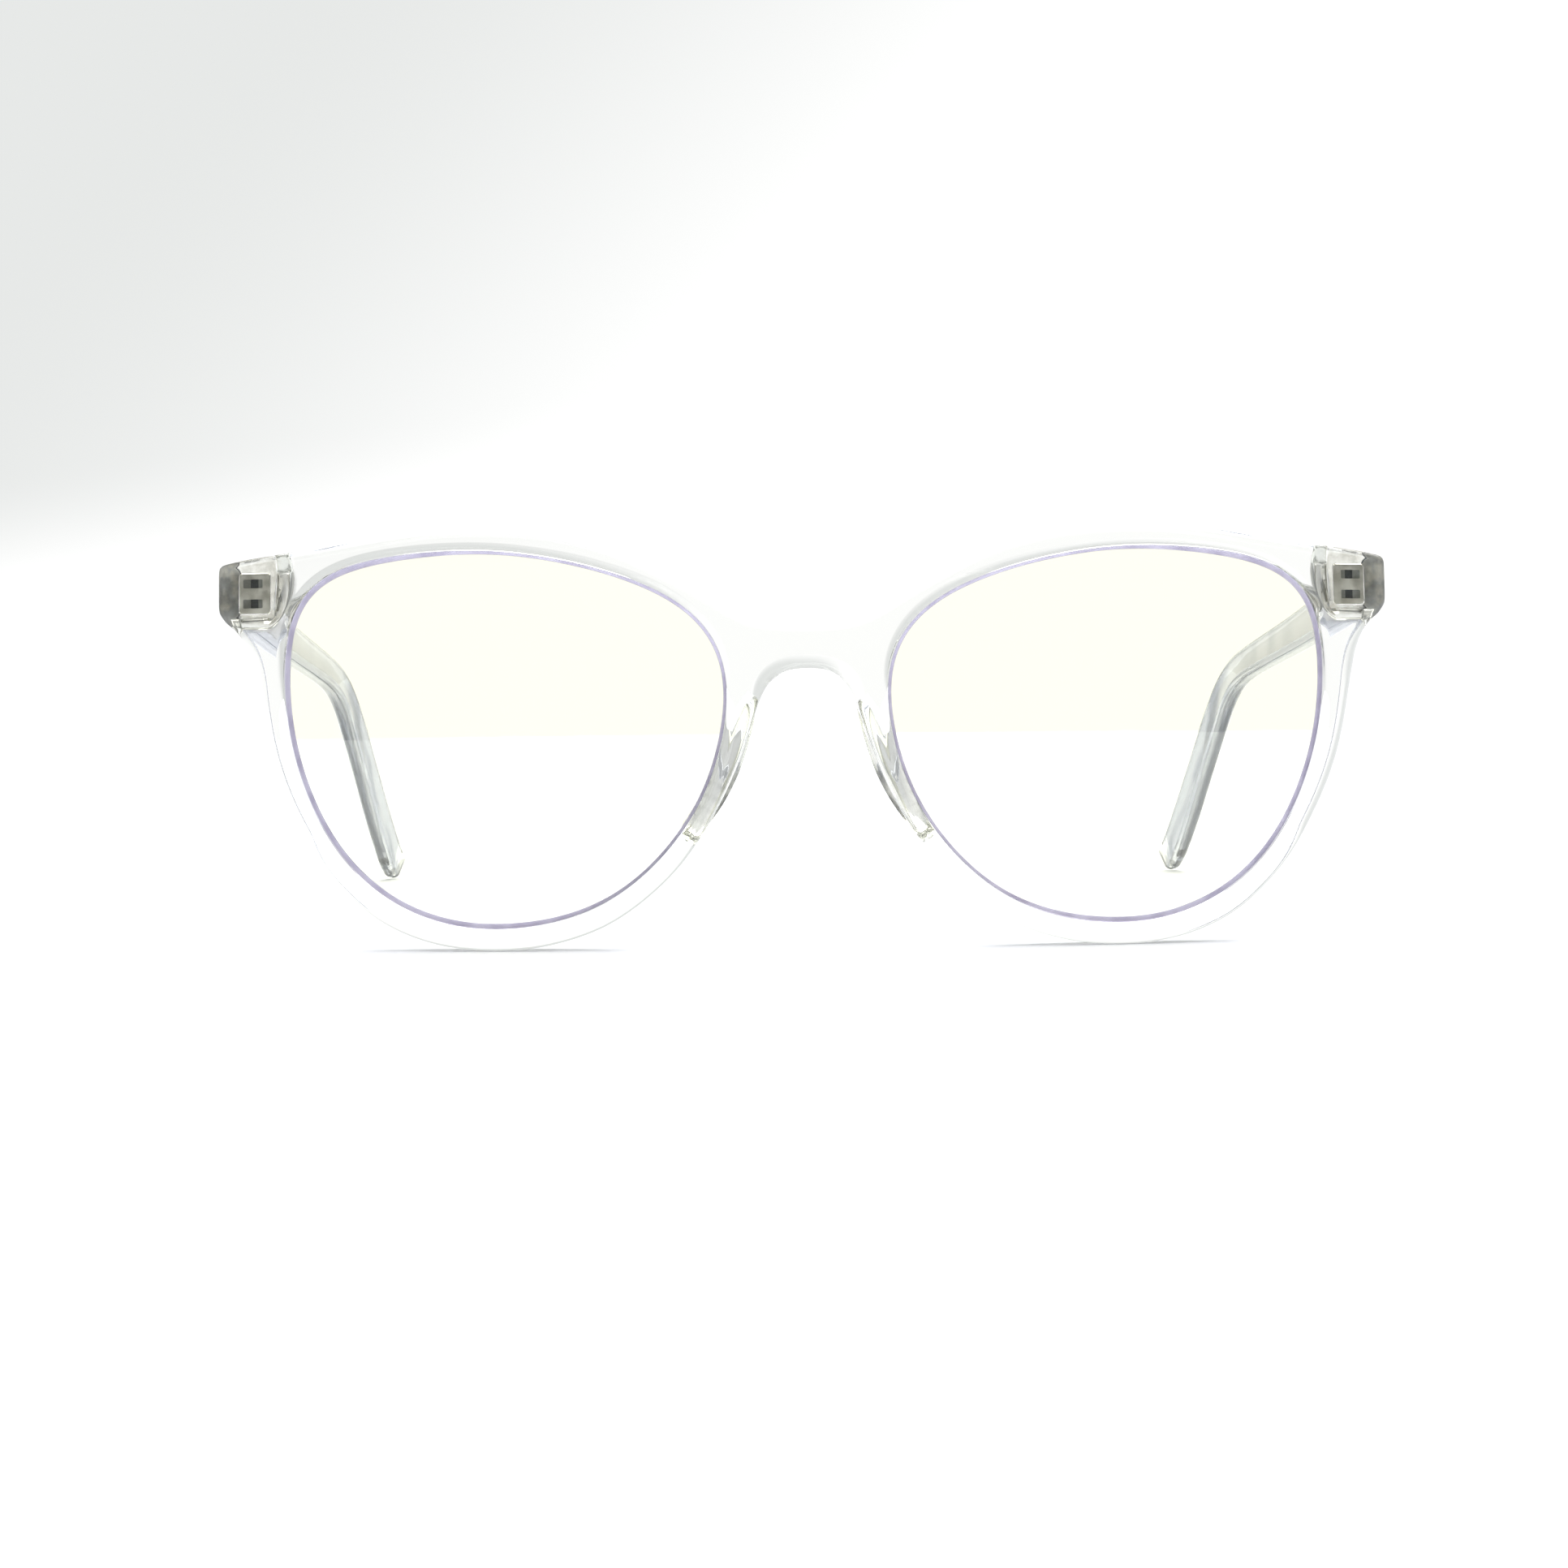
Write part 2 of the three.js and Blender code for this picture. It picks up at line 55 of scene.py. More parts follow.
# ------------------------------------------------------------ design sizes, mm
LENS_X, LENS_Z = 36.3, 25.4  # centre of the left lens
LENS_T = 2.0
LENS_V = 0.5  # height of the V edge that sits in the rim's groove
FRONT_T = 3.8
BASE_R = 150.0  # radius of the front's curve
WRAP = math.radians(5.5)
BRIDGE_X = 12.0  # half width of the part with the bridge's own curve
OUTER_X = 70.4
END_BACK_Y = 13.2  # back of the endpieces

HINGE_X, HINGE_Y, HINGE_Z = 65.95, 14.7, 42.65  # middle of the pin
BARREL_R, BORE_R, SCREW_R, HEAD_R = 1.2, 0.68, 0.52, 0.95
LEAF_H, LEAF_GAP = 1.2, 1.2
PLATE_W, PLATE_H, PLATE_D, PLATE_CLEAR = 4.1, 4.8, 1.4, 0.1
PLATE_X0, PLATE_X1 = HINGE_X - PLATE_W / 2, HINGE_X + PLATE_W / 2 - 0.3
PLATE_Z0, PLATE_Z1 = HINGE_Z - PLATE_H / 2, HINGE_Z + PLATE_H / 2
PLATE_Y0 = END_BACK_Y - PLATE_D
POCKET_FLOOR_Y = PLATE_Y0 - PLATE_CLEAR
WINDOW_X0, WINDOW_X1, WINDOW_DEPTH = 64.85, 67.25, 0.8

TEMPLE_T, TEMPLE_TIP_T = 2.9, 2.6
TEMPLE_STRAIGHT, TEMPLE_END_Y = 40.0, 135  # the inward bow runs between these y
TEMPLE_BOW = 6.4
TEMPLE_TURN = 18.0  # twist of the bar at its ear end, degrees
TEMPLE_IN_X = OUTER_X - TEMPLE_T
# the hinge plate let into the temple's inner side
LET_Y0, LET_Y1 = HINGE_Y - 0.5, HINGE_Y + 8.6
LET_Z0, LET_Z1 = HINGE_Z - 1.9, HINGE_Z + 1.9
LET_X0, LET_X1 = TEMPLE_IN_X - 0.15, TEMPLE_IN_X + 0.95

PAD_Y, PAD_Z = 4.9, 22.0
PAD_RX, PAD_RY, PAD_RZ = 1.65, 4.4, 9.2
PAD_INSET = 1.5  # from the rim's nose edge to the pad's middle
PAD_SPLAY = 0.36  # x gained per y
PAD_GAP = 0.04  # between pad and rim

# middle line of the temple: y, z, height of the bar
TEMPLE_LINE = [
    (13.5, 42.75, 6.3), (26, 41.15, 6.0), (41.5, 39.2, 5.5), (60, 36.85, 5.0), (75, 34.9, 4.7),
    (86, 33.2, 4.55), (93, 31.5, 4.5), (99, 28.8, 4.5), (105.5, 24.2, 4.6), (114, 17.1, 4.8),
    (123, 9.4, 5.0), (130, 3.85, 4.9), (133.9934, 1.7295, 4.6),
]
# lens radius every 5 degrees, from the temple side upwards
LENS_RADII = [
    25.35, 25.78, 26.3, 26.88, 27.52, 28.18, 28.78, 29.08, 28.77, 27.99, 26.96,
    25.92, 24.95, 24.12, 23.44, 22.9, 22.48, 22.18, 21.98, 21.88, 21.88, 21.99,
    22.2, 22.54, 22.98, 23.54, 24.2, 24.96, 25.78, 26.57, 27.21, 27.62, 27.72,
    27.54, 27.16, 26.68, 26.18, 25.76, 25.38, 25.0, 24.65, 24.33, 24.04, 23.8,
    23.6, 23.44, 23.31, 23.2, 23.1, 22.99, 22.89, 22.82, 22.78, 22.78, 22.82,
    22.92, 23.05, 23.17, 23.3, 23.43, 23.56, 23.67, 23.76, 23.83, 23.89, 23.95,
    24.02, 24.1, 24.22, 24.4, 24.65, 24.96,
]
# left half of the front's outline as x, z: along the top, round the end, back underneath
TOP_LINE = [
    (0, 38.4), (3.6, 38.55), (6.7, 39.1), (9.6, 40.6), (13.8, 43.1), (17.4, 44.95),
    (20.5, 46.5), (23.4, 47.7), (26.5, 48.65), (30.5, 49.55), (36, 50.1),
    (41.5, 50.2), (45.5, 50.0), (50.3, 49.4), (55, 48.65), (60.5, 47.8),
    (64.5, 47.2), (67, 46.85), (68.8, 46.5),
]
END_LINE = [
    (69.6, 46.33), (70.05, 46.18), (70.32, 45.9), (70.4, 45.5),
    (70.4, 44.6), (70.4, 42.8), (70.4, 41.2), (70.32, 40.4),
]
LOW_LINE = [
    (69.5, 39.3), (68.3, 38.3), (67.3, 37.0), (66.6, 35.2), (66.0, 32.2),
    (65.4, 28.8), (64.7, 25.0), (63.7, 21.3), (62.3, 17.8), (60.3, 13.9),
    (58.1, 10.4), (55.2, 7.0), (51.7, 3.9), (48.2, 2.0), (44.5, 0.75),
    (40.5, 0.12), (36.6, 0.0), (32.5, 0.3), (28.6, 1.15), (24.5, 2.65),
    (21.0, 4.75), (17.8, 7.35), (15.2, 10.0), (12.9, 13.1), (11.0, 16.3),
    (9.6, 19.0), (8.3, 21.9), (7.3, 24.6), (6.5, 27.0), (5.8, 29.1),
    (4.95, 30.95), (3.9, 32.15), (2.3, 32.85), (0, 33.0),
]

# Design to scene: the CAD's front hinge plate fixes the offset, in mm.
plate_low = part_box("front_hinge_left")[0]
ORIGIN = np.array([0, plate_low.y / MM - PLATE_Y0, plate_low.z / MM - PLATE_Z0])
_, ORIGIN_Y, ORIGIN_Z = map(float, ORIGIN)


# ------------------------------------------------------------------- curves
# Behind its wrap the front is a parabola outside the bridge, and an even quartic across it
# that meets the parabola with the same height, slope and curvature.
WRAP_SLOPE = math.tan(WRAP)
JOIN_SLOPE = WRAP_SLOPE + (BRIDGE_X - LENS_X) / BASE_R
QUARTIC = (1 / BASE_R - JOIN_SLOPE / BRIDGE_X) / (8 * BRIDGE_X**2)
QUADRATIC = (JOIN_SLOPE - 4 * QUARTIC * BRIDGE_X**3) / (2 * BRIDGE_X)


def outer_curve(x):
    return WRAP_SLOPE * (x - LENS_X) + (x - LENS_X) ** 2 / (2 * BASE_R)


MIDDLE_Y = outer_curve(BRIDGE_X) - QUADRATIC * BRIDGE_X**2 - QUARTIC * BRIDGE_X**4


def across(x):
    x = np.abs(x)
    bridge = QUADRATIC * x * x + QUARTIC * x**4
    return np.where(x >= BRIDGE_X, outer_curve(x) - MIDDLE_Y, bridge)


def mid_y(x, z):
    """The surface halfway through the front's thickness."""
    return across(x) + (z - LENS_Z) ** 2 / (2 * BASE_R) + FRONT_T / 2


def smooth01(t):
    t = np.clip(t, 0, 1)
    return t * t * (3 - 2 * t)


def catmull(points, count):
    """Centripetal Catmull-Rom through points, count + 1 samples evenly spaced along it."""
    points = np.array(points, float)
    points = np.vstack([2 * points[0] - points[1], points, 2 * points[-1] - points[-2]])
    samples = []
    for i in range(1, len(points) - 2):
        four = points[i - 1:i + 3]
        knots = [0.0]
        for a, b in zip(four, four[1:]):
            knots.append(knots[-1] + np.linalg.norm(b - a) ** 0.5)
        last = i == len(points) - 3
        t = np.linspace(knots[1], knots[2], 40, endpoint=last)[:, None]

        def between(a, b, low, high):
            low, high = knots[low], knots[high]
            return (high - t) / (high - low) * a + (t - low) / (high - low) * b

        lines = [between(four[j], four[j + 1], j, j + 1) for j in range(3)]
        bends = [between(lines[j], lines[j + 1], j, j + 2) for j in range(2)]
        samples.append(between(*bends, 1, 2))
    return resample(np.vstack(samples), count)


def resample(points, count, closed=False):
    if closed:
        points = np.vstack([points, points[:1]])
    steps = np.linalg.norm(np.diff(points, axis=0), axis=1)
    length = np.concatenate([[0], np.cumsum(steps)])
    even = np.linspace(0, length[-1], count + 1)
    columns = [np.interp(even, length, column) for column in points.T]
    result = np.stack(columns, 1)
    return result[:-1] if closed else result


def relax(points, strength, rounds):
    """Evens out a closed polygon a little, more where strength is 1."""
    weight = strength[:, None]
    for _ in range(rounds):
        middle = (np.roll(points, 1, 0) + np.roll(points, -1, 0)) / 2
        points = points + 0.5 * weight * (middle - points)
    return points


def normals_in(points):
    """Unit normals left of travel: inwards for a counter-clockwise closed polygon."""
    along = np.roll(points, -1, 0) - np.roll(points, 1, 0)
    along /= np.linalg.norm(along, axis=1)[:, None]
    return np.stack([-along[:, 1], along[:, 0]], 1)


def mirrored(points):
    """A flat outline across x = 0, still counter-clockwise."""
    return (points * [-1, 1])[::-1]


# Fourier series of the lens radii, its fine terms faded out
SERIES = np.fft.rfft(LENS_RADII)
SERIES *= np.exp(-((np.arange(len(SERIES)) / 15.0) ** 4))


def lens_outline(count):
    """Left lens as x, z, counter-clockwise."""
    angle = np.linspace(0, 2 * np.pi, 2000, endpoint=False)
    total = len(LENS_RADII)
    radius = np.full(angle.shape, SERIES[0].real / total)
    for k in range(1, 30):
        wave = SERIES[k].real * np.cos(k * angle) - SERIES[k].imag * np.sin(k * angle)
        radius = radius + 2 * wave / total
    x = LENS_X + radius * np.cos(angle)
    z = LENS_Z + radius * np.sin(angle)
    return resample(np.stack([x, z], 1), count, closed=True)


def front_outline(count):
    half = np.vstack([catmull(TOP_LINE, 300), np.array(END_LINE), catmull(LOW_LINE, 500)])
    full = np.vstack([half, mirrored(half[1:-1])])[::-1]  # counter-clockwise
    points = resample(full, count, closed=True)
    x, z = np.abs(points[:, 0]), points[:, 1]
    corner = smooth01((x - 65) / 2) * smooth01((z - 36) / 2)
    arch = smooth01((9 - x) / 3) * smooth01((z - 26) / 3) * smooth01((36.5 - z) / 1)
    return relax(points, 1 - np.maximum(0.96 * corner, 0.5 * arch), 14)


def circle(center, radius, count, start=0.0, end=360.0):
    """Points of a full circle, or of an arc with both its ends; angles in degrees."""
    full = abs(end - start) >= 360
    angles = np.linspace(math.radians(start), math.radians(end), count, endpoint=not full)
    cx, cy = center
    return [(cx + radius * math.cos(a), cy + radius * math.sin(a)) for a in angles]


def rounded_rect(x0, x1, z0, z1, r, count=6):
    """A rectangle with count points on each round corner."""
    centers = [(x1 - r, z1 - r), (x0 + r, z1 - r), (x0 + r, z0 + r), (x1 - r, z0 + r)]
    points = []
    for i, center in enumerate(centers):
        points += circle(center, r, count, 90 * i, 90 * i + 90)
    return points


# -------------------------------------------------------------- mesh helpers
def strip(a, b):
    """Quads between two closed rings of vertex numbers."""
    count = len(a)
    return [(a[i], a[(i + 1) % count], b[(i + 1) % count], b[i]) for i in range(count)]


class Shell:
    """Points in design millimetres, and faces over them."""

    def __init__(self):
        self.points = []
        self.faces = []

    def add(self, points):
        start = len(self.points)
        self.points.extend(map(tuple, points))
        return np.arange(start, len(self.points))

    def add_ring(self, flat, y):
        """Adds a flat x, z ring at depth y."""
        return self.add(np.stack([flat[:, 0], y, flat[:, 1]], 1))

    def join(self, rings):
        for a, b in zip(rings[:-1], rings[1:]):
            self.faces.extend(strip(a, b))

    def fan(self, ring, pole):
        """Closes a ring with triangles to one point."""
        tip = self.add([pole])[0]
        for i in range(len(ring)):
            self.faces.append((ring[i], ring[(i + 1) % len(ring)], tip))


def shade(ob, degrees):
    """Smooth faces, sharp at edges steeper than this."""
    ob.data.polygons.foreach_set("use_smooth", [True] * len(ob.data.polygons))
    ob.data.set_sharp_from_angle(angle=math.radians(degrees))


def make(name, shell, material, sharp=40):
    mesh = bpy.data.meshes.new(name)
    points = (np.asarray(shell.points, float) + ORIGIN) * MM
    faces = [tuple(int(i) for i in face) for face in shell.faces]
    mesh.from_pydata([tuple(point) for point in points], [], faces)
    mesh.validate()
    mesh.materials.append(material)
    edit = bmesh.new()
    edit.from_mesh(mesh)
    bmesh.ops.recalc_face_normals(edit, faces=edit.faces)
    edit.to_mesh(mesh)
    edit.free()
    ob = bpy.data.objects.new(name, mesh)
    shade(ob, sharp)
    bpy.context.scene.collection.objects.link(ob)
    return ob


def read_points(mesh):
    flat = np.zeros(len(mesh.vertices) * 3)
    mesh.vertices.foreach_get("co", flat)
    return flat.reshape(-1, 3)


def design_points(ob):
    return read_points(ob.data) / MM - ORIGIN


def write_attribute(ob, name, values):
    attribute = ob.data.attributes.new(name, "FLOAT", "POINT")
    attribute.data.foreach_set("value", np.asarray(values, np.float32))


def copy_mirrored(ob, name):
    mesh = ob.data.copy()
    points = read_points(mesh)
    points[:, 0] *= -1
    mesh.vertices.foreach_set("co", points.ravel())
    mesh.flip_normals()
    mesh.update()
    twin = bpy.data.objects.new(name, mesh)
    bpy.context.scene.collection.objects.link(twin)
    return twin


def apply_modifiers(ob):
    depsgraph = bpy.context.evaluated_depsgraph_get()
    mesh = bpy.data.meshes.new_from_object(ob.evaluated_get(depsgraph))
    old = ob.data
    ob.modifiers.clear()
    ob.data = mesh
    bpy.data.meshes.remove(old)


def boolean(ob, other, operation):
    """Joins or cuts ob with other, which is used up."""
    modifier = ob.modifiers.new("boolean", "BOOLEAN")
    modifier.object = other
    modifier.operation = operation
    modifier.solver = "EXACT"
    apply_modifiers(ob)
    bpy.data.objects.remove(other)


def prism(name, loop, low, high, axis, material, bevel=0, segments=3):
    """A prism over a closed loop, from low to high on the axis, its edges softened by bevel."""
    shell = Shell()
    flat = np.array(loop, float)
    ends = [shell.add(np.insert(flat, "xyz".index(axis), h, axis=1)) for h in (low, high)]
    shell.join(ends)
    shell.faces += [tuple(end) for end in ends]
    ob = make(name, shell, material)
    if bevel:
        modifier = ob.modifiers.new("edge", "BEVEL")
        modifier.width = bevel * MM
        modifier.segments = segments
        modifier.limit_method = "ANGLE"
        modifier.angle_limit = math.radians(40)
        apply_modifiers(ob)
        shade(ob, 30)
    return ob


# ------------------------------------------------------------- node helpers
def set_inputs(tree, node, inputs):
    """Links sockets given as values, and sets the rest; colours are given as RGB."""
    for key, value in inputs.items():
        socket = node.inputs[key]
        if isinstance(value, bpy.types.NodeSocket):
            tree.links.new(value, socket)
        elif socket.type == "RGBA":
            socket.default_value = (*value, 1)
        else:
            socket.default_value = value


def add_node(tree, kind, inputs={}, **settings):
    node = tree.nodes.new("ShaderNode" + kind)
    for key, value in settings.items():
        setattr(node, key, value)
    set_inputs(tree, node, inputs)
    return node


def noise(tree, scale, detail=2.0, roughness=0.5, stretch=None):
    place = add_node(tree, "TexCoord").outputs["Object"]
    if stretch:
        mapping = add_node(tree, "Mapping", {"Vector": place, "Scale": stretch})
        place = mapping.outputs["Vector"]
    inputs = {"Vector": place, "Scale": scale, "Detail": detail, "Roughness": roughness}
    return add_node(tree, "TexNoise", inputs).outputs["Fac"]


def ranged(tree, value, to=(0.0, 1.0), span=(0.0, 1.0), curve="LINEAR"):
    """Maps the span of value onto the range to."""
    inputs = {
        "Value": value, "From Min": span[0], "From Max": span[1],
        "To Min": to[0], "To Max": to[1],
    }
    return add_node(tree, "MapRange", inputs, interpolation_type=curve).outputs["Result"]


def mix(tree, factor, a, b, kind="RGBA"):
    inputs = {"Factor": factor, "A": a, "B": b}
    return add_node(tree, "Mix", inputs, data_type=kind).outputs["Result"]


def calc(tree, operation, a, b):
    return add_node(tree, "Math", {0: a, 1: b}, operation=operation).outputs["Value"]


def bump(tree, height, strength, distance):
    inputs = {"Height": height, "Strength": strength, "Distance": distance}
    return add_node(tree, "Bump", inputs).outputs["Normal"]


def attribute(tree, name):
    return add_node(tree, "Attribute", attribute_name=name).outputs["Fac"]


def new_material(name):
    material = bpy.data.materials.new(name)
    material.use_nodes = True
    return material, material.node_tree, material.node_tree.nodes["Principled BSDF"]


# ---------------------------------------------------------------- materials
def clear_plastic(
    name, absorb, density, tint=(0.995, 0.998, 0.997), ior=1.49, wave=0.02, haze=0.0, part=None,
):
    """Clear material with absorption. part holds the look where the mask attribute is 1:
    its dark and light colours, its range of roughness and the scale of its grain."""
    material, tree, principled = new_material(name)
    # slight differences of polish, and a very slow flow waviness
    colour = tint
    fine = noise(tree, scale=260, detail=3, roughness=0.6)
    polish = ranged(tree, fine, to=(0.0, 0.035), span=(0.45, 0.75))
    if part:
        mask = attribute(tree, "mask")
        grain = noise(tree, scale=part["grain"])
        spots = ranged(tree, grain, span=(0.38, 0.62))
        colour = mix(tree, mask, tint, mix(tree, spots, part["dark"], part["light"]))
        inside_part = ranged(tree, mask, span=(0.9, 1.0))
        rough = ranged(tree, grain, to=part["roughness"])
        polish = mix(tree, inside_part, polish, rough, kind="FLOAT")
    flow = noise(tree, scale=120, detail=1, roughness=0.4, stretch=(1, 0.6, 1))
    principled.inputs["Base Color"].default_value = (*tint, 1)
    set_inputs(tree, principled, {
        "Base Color": colour,
        "IOR": ior,
        "Transmission Weight": 1.0 - haze,
        "Roughness": polish,
        "Normal": bump(tree, flow, strength=wave, distance=0.001),
    })
    volume = add_node(tree, "VolumeAbsorption", {"Color": absorb, "Density": density})
    tree.links.new(volume.outputs["Volume"], tree.nodes["Material Output"].inputs["Volume"])
    return material


# the temple's own grey-lavender with painted shade and highlight stripes, as refraction through the
# bar shows them;
# colours over the temple's "across" attribute: -1 is its inner side, +1 its outer
TEMPLE_SHADE_BANDS = [
    (-1.25, (0.96, 0.965, 0.98)), (-0.95, (0.93, 0.935, 0.955)),
    (-0.80, (0.30, 0.32, 0.39)), (-0.55, (0.26, 0.28, 0.36)),
    (-0.38, (0.74, 0.75, 0.785)), (-0.05, (0.60, 0.61, 0.655)),
    (0.12, (0.155, 0.17, 0.225)), (0.78, (0.14, 0.155, 0.21)),
    (0.95, (0.62, 0.63, 0.66)), (1.2, (0.78, 0.785, 0.81)),
]
BAND_REACH = 1.5  # the ramp covers this much either side of 0


def shade_banded_plastic(name, **plastic):
    """Clear plastic with painted shade and highlight in wavering bands along the temple."""
    material = clear_plastic(name, **plastic)
    tree = material.node_tree
    drift = noise(tree, scale=110, detail=1, roughness=0.4)
    waver = ranged(tree, drift, to=(-0.12, 0.08), span=(0.3, 0.7))
    place = calc(tree, "ADD", attribute(tree, "across"), waver)
    factor = ranged(tree, place, span=(-BAND_REACH, BAND_REACH))
    ramp = add_node(tree, "ValToRGB", {"Fac": factor})
    elements = ramp.color_ramp.elements
    while len(elements) < len(TEMPLE_SHADE_BANDS):
        elements.new(0.5)
    for element, (position, colour) in zip(elements, TEMPLE_SHADE_BANDS):
        element.position = (position + BAND_REACH) / (2 * BAND_REACH)
        element.color = (*colour, 1)
    tree.links.new(ramp.outputs["Color"], tree.nodes["Principled BSDF"].inputs["Base Color"])
    return material


def brushed(name, colour, rough, scale=900, stretch=(1, 1, 0.05)):
    material, tree, principled = new_material(name)
    grain = noise(tree, scale=scale, detail=4, roughness=0.6, stretch=stretch)
    dark = [c * 0.82 for c in colour]
    light = [min(1, c * 1.12) for c in colour]
    set_inputs(tree, principled, {
        "Metallic": 1.0,
        "Base Color": mix(tree, grain, dark, light),
        "Roughness": ranged(tree, grain, to=(rough - 0.08, rough + 0.12)),
        "Normal": bump(tree, grain, strength=0.15, distance=0.00005),
    })
    return material


def matt_plastic(name, dark, light, scale):
    material, tree, principled = new_material(name)
    grain = noise(tree, scale=scale)
    spots = ranged(tree, grain, span=(0.42, 0.60))
    set_inputs(tree, principled, {
        "Base Color": mix(tree, spots, dark, light),
        "Roughness": ranged(tree, grain, to=(0.45, 0.7)),
    })
    return material


def floor_material(name):
    material, tree, principled = new_material(name)
    cloud = noise(tree, scale=6)
    set_inputs(tree, principled, {
        "Base Color": mix(tree, cloud, (0.91, 0.925, 0.965), (0.925, 0.94, 0.98)),
        "Roughness": 0.75,
        "Specular IOR Level": 0.2,
    })
    return material


FRAME_MAT = clear_plastic(
    "clear_frame_plastic", absorb=(0.80, 0.81, 0.775), density=125,
    part=dict(dark=(0.50, 0.48, 0.42), light=(0.80, 0.79, 0.735), roughness=(0.10, 0.30), grain=700),
)
# the temple's colour is painted shade and highlight stripes over its own grey-lavender
TEMPLE_MAT = shade_banded_plastic(
    "clear_temple_plastic", absorb=(0.82, 0.84, 0.86), density=110, tint=(0.37, 0.395, 0.45),
    haze=0.08,
)
PAD_MAT = clear_plastic(
    "clear_pad_plastic", absorb=(0.82, 0.82, 0.74), density=90,
    part=dict(dark=(0.10, 0.10, 0.10), light=(0.45, 0.45, 0.42), roughness=(0.10, 0.22), grain=420),
)
LENS_MAT = clear_plastic(
    "lens_tinted", absorb=(0.995, 0.985, 0.16), density=90, tint=(0.999, 0.999, 0.99),
    ior=1.50, wave=0.0,
    part=dict(dark=(0.14, 0.12, 0.28), light=(0.24, 0.215, 0.44), roughness=(0.25, 0.45), grain=300),
)
HINGE_MAT = brushed("hinge_nickel_silver", colour=(0.90, 0.89, 0.86), rough=0.4)
# painted shade for the hinge plate's windows: near black in their deep part, mid-grey on the ledge
# of their step
WINDOW_SHADE_MAT = brushed("hinge_window_painted_shade", colour=(0.07, 0.085, 0.085), rough=0.5)
LEDGE_SHADE_MAT = brushed("hinge_ledge_painted_shade", colour=(0.40, 0.42, 0.41), rough=0.5)
END_MAT = matt_plastic(
    "temple_matt_end", dark=(0.65, 0.67, 0.71), light=(1.0, 0.99, 0.95), scale=650,
)
SCREW_MAT = brushed(
    "screw_steel", colour=(0.52, 0.53, 0.54), rough=0.24, scale=1400, stretch=(1, 1, 0.3),
)


# -------------------------------------------------------------------- front
def end_span(z):
    """Where the endpiece's shoulder starts and ends: an arc bulging towards the lens."""
    start = 60.75 + 0.085 * (z - 44.3) ** 2
    return start, np.maximum(63.4, start + 1.0)


def end_weight(x, z):
    """1 where the endpiece's thick block stands behind the front, 0 on the rims."""
    start, end = end_span(z)
    return smooth01((np.abs(x) - start) / (end - start)) * smooth01((z - 38.3) / 1.5)


def y_front(x, z):
    return mid_y(x, z) - FRONT_T / 2


def y_back(x, z):
    weight = end_weight(x, z)
    return (mid_y(x, z) + FRONT_T / 2) * (1 - weight) + END_BACK_Y * weight


def nearest(points, others):
    """Distance from each point to the nearest of the others, in batches to save memory."""
    parts = []
    for k in range(0, len(points), 2000):
        offsets = points[k:k + 2000, None, :] - others[None, :, :]
        parts.append(np.sqrt((offsets ** 2).sum(2)).min(1))
    return np.concatenate(parts)


def loop_smooth(values, rounds=60):
    for _ in range(rounds):
        values = 0.5 * values + 0.25 * (np.roll(values, 1) + np.roll(values, -1))
    return values


def edge_sizes(outline, gap, is_hole):
    """Depth and width of the rounded edge, in front and then behind."""
    x, z = np.abs(outline[:, 0]), outline[:, 1]
    if is_hole:
        depth = loop_smooth(np.clip(0.40 * gap, 0.5, 0.75))
        width = depth * 1.2
    else:
        # crisp along the brow and the endpieces, full on the sides and in the nose arch,
        # fine again along the bottom
        under = smooth01((38.0 - z) / 3.0)
        side = under * smooth01((x - 18) / 16)
        arch = smooth01((8 - x) / 3) * (z < 36) * (z > 29)
        bottom = smooth01((17 - z) / 8)
        depth = 0.55 + 0.25 * under + 0.40 * side + 0.35 * arch
        depth = loop_smooth(depth * (1 - bottom) + 0.34 * bottom, 30)
        width = 0.62 + 0.30 * under + 0.75 * side + 0.95 * arch
        width = loop_smooth(width * (1 - bottom) + 0.36 * bottom, 30)
    depth = np.minimum(depth, 0.42 * gap)
    width = np.minimum(width, 0.46 * gap)
    if not is_hole:
        return depth, width, depth, width
    # behind, full on the nose side and slight on the temple side
    nose = smooth01((LENS_X + 6 - x) / 12)
    slight = np.clip(0.16 * gap, 0.26, 0.34)
    back_depth = loop_smooth(slight * (1 - nose) + depth * nose)
    return depth, width, back_depth, back_depth * 1.15


EDGE_ARC = np.linspace(0, math.radians(76), 9)
# the groove that holds the lens: y from the middle surface, depth into the rim
GROOVE = [(-0.6, 0), (-0.07, 0.56), (0.07, 0.56), (0.6, 0)]


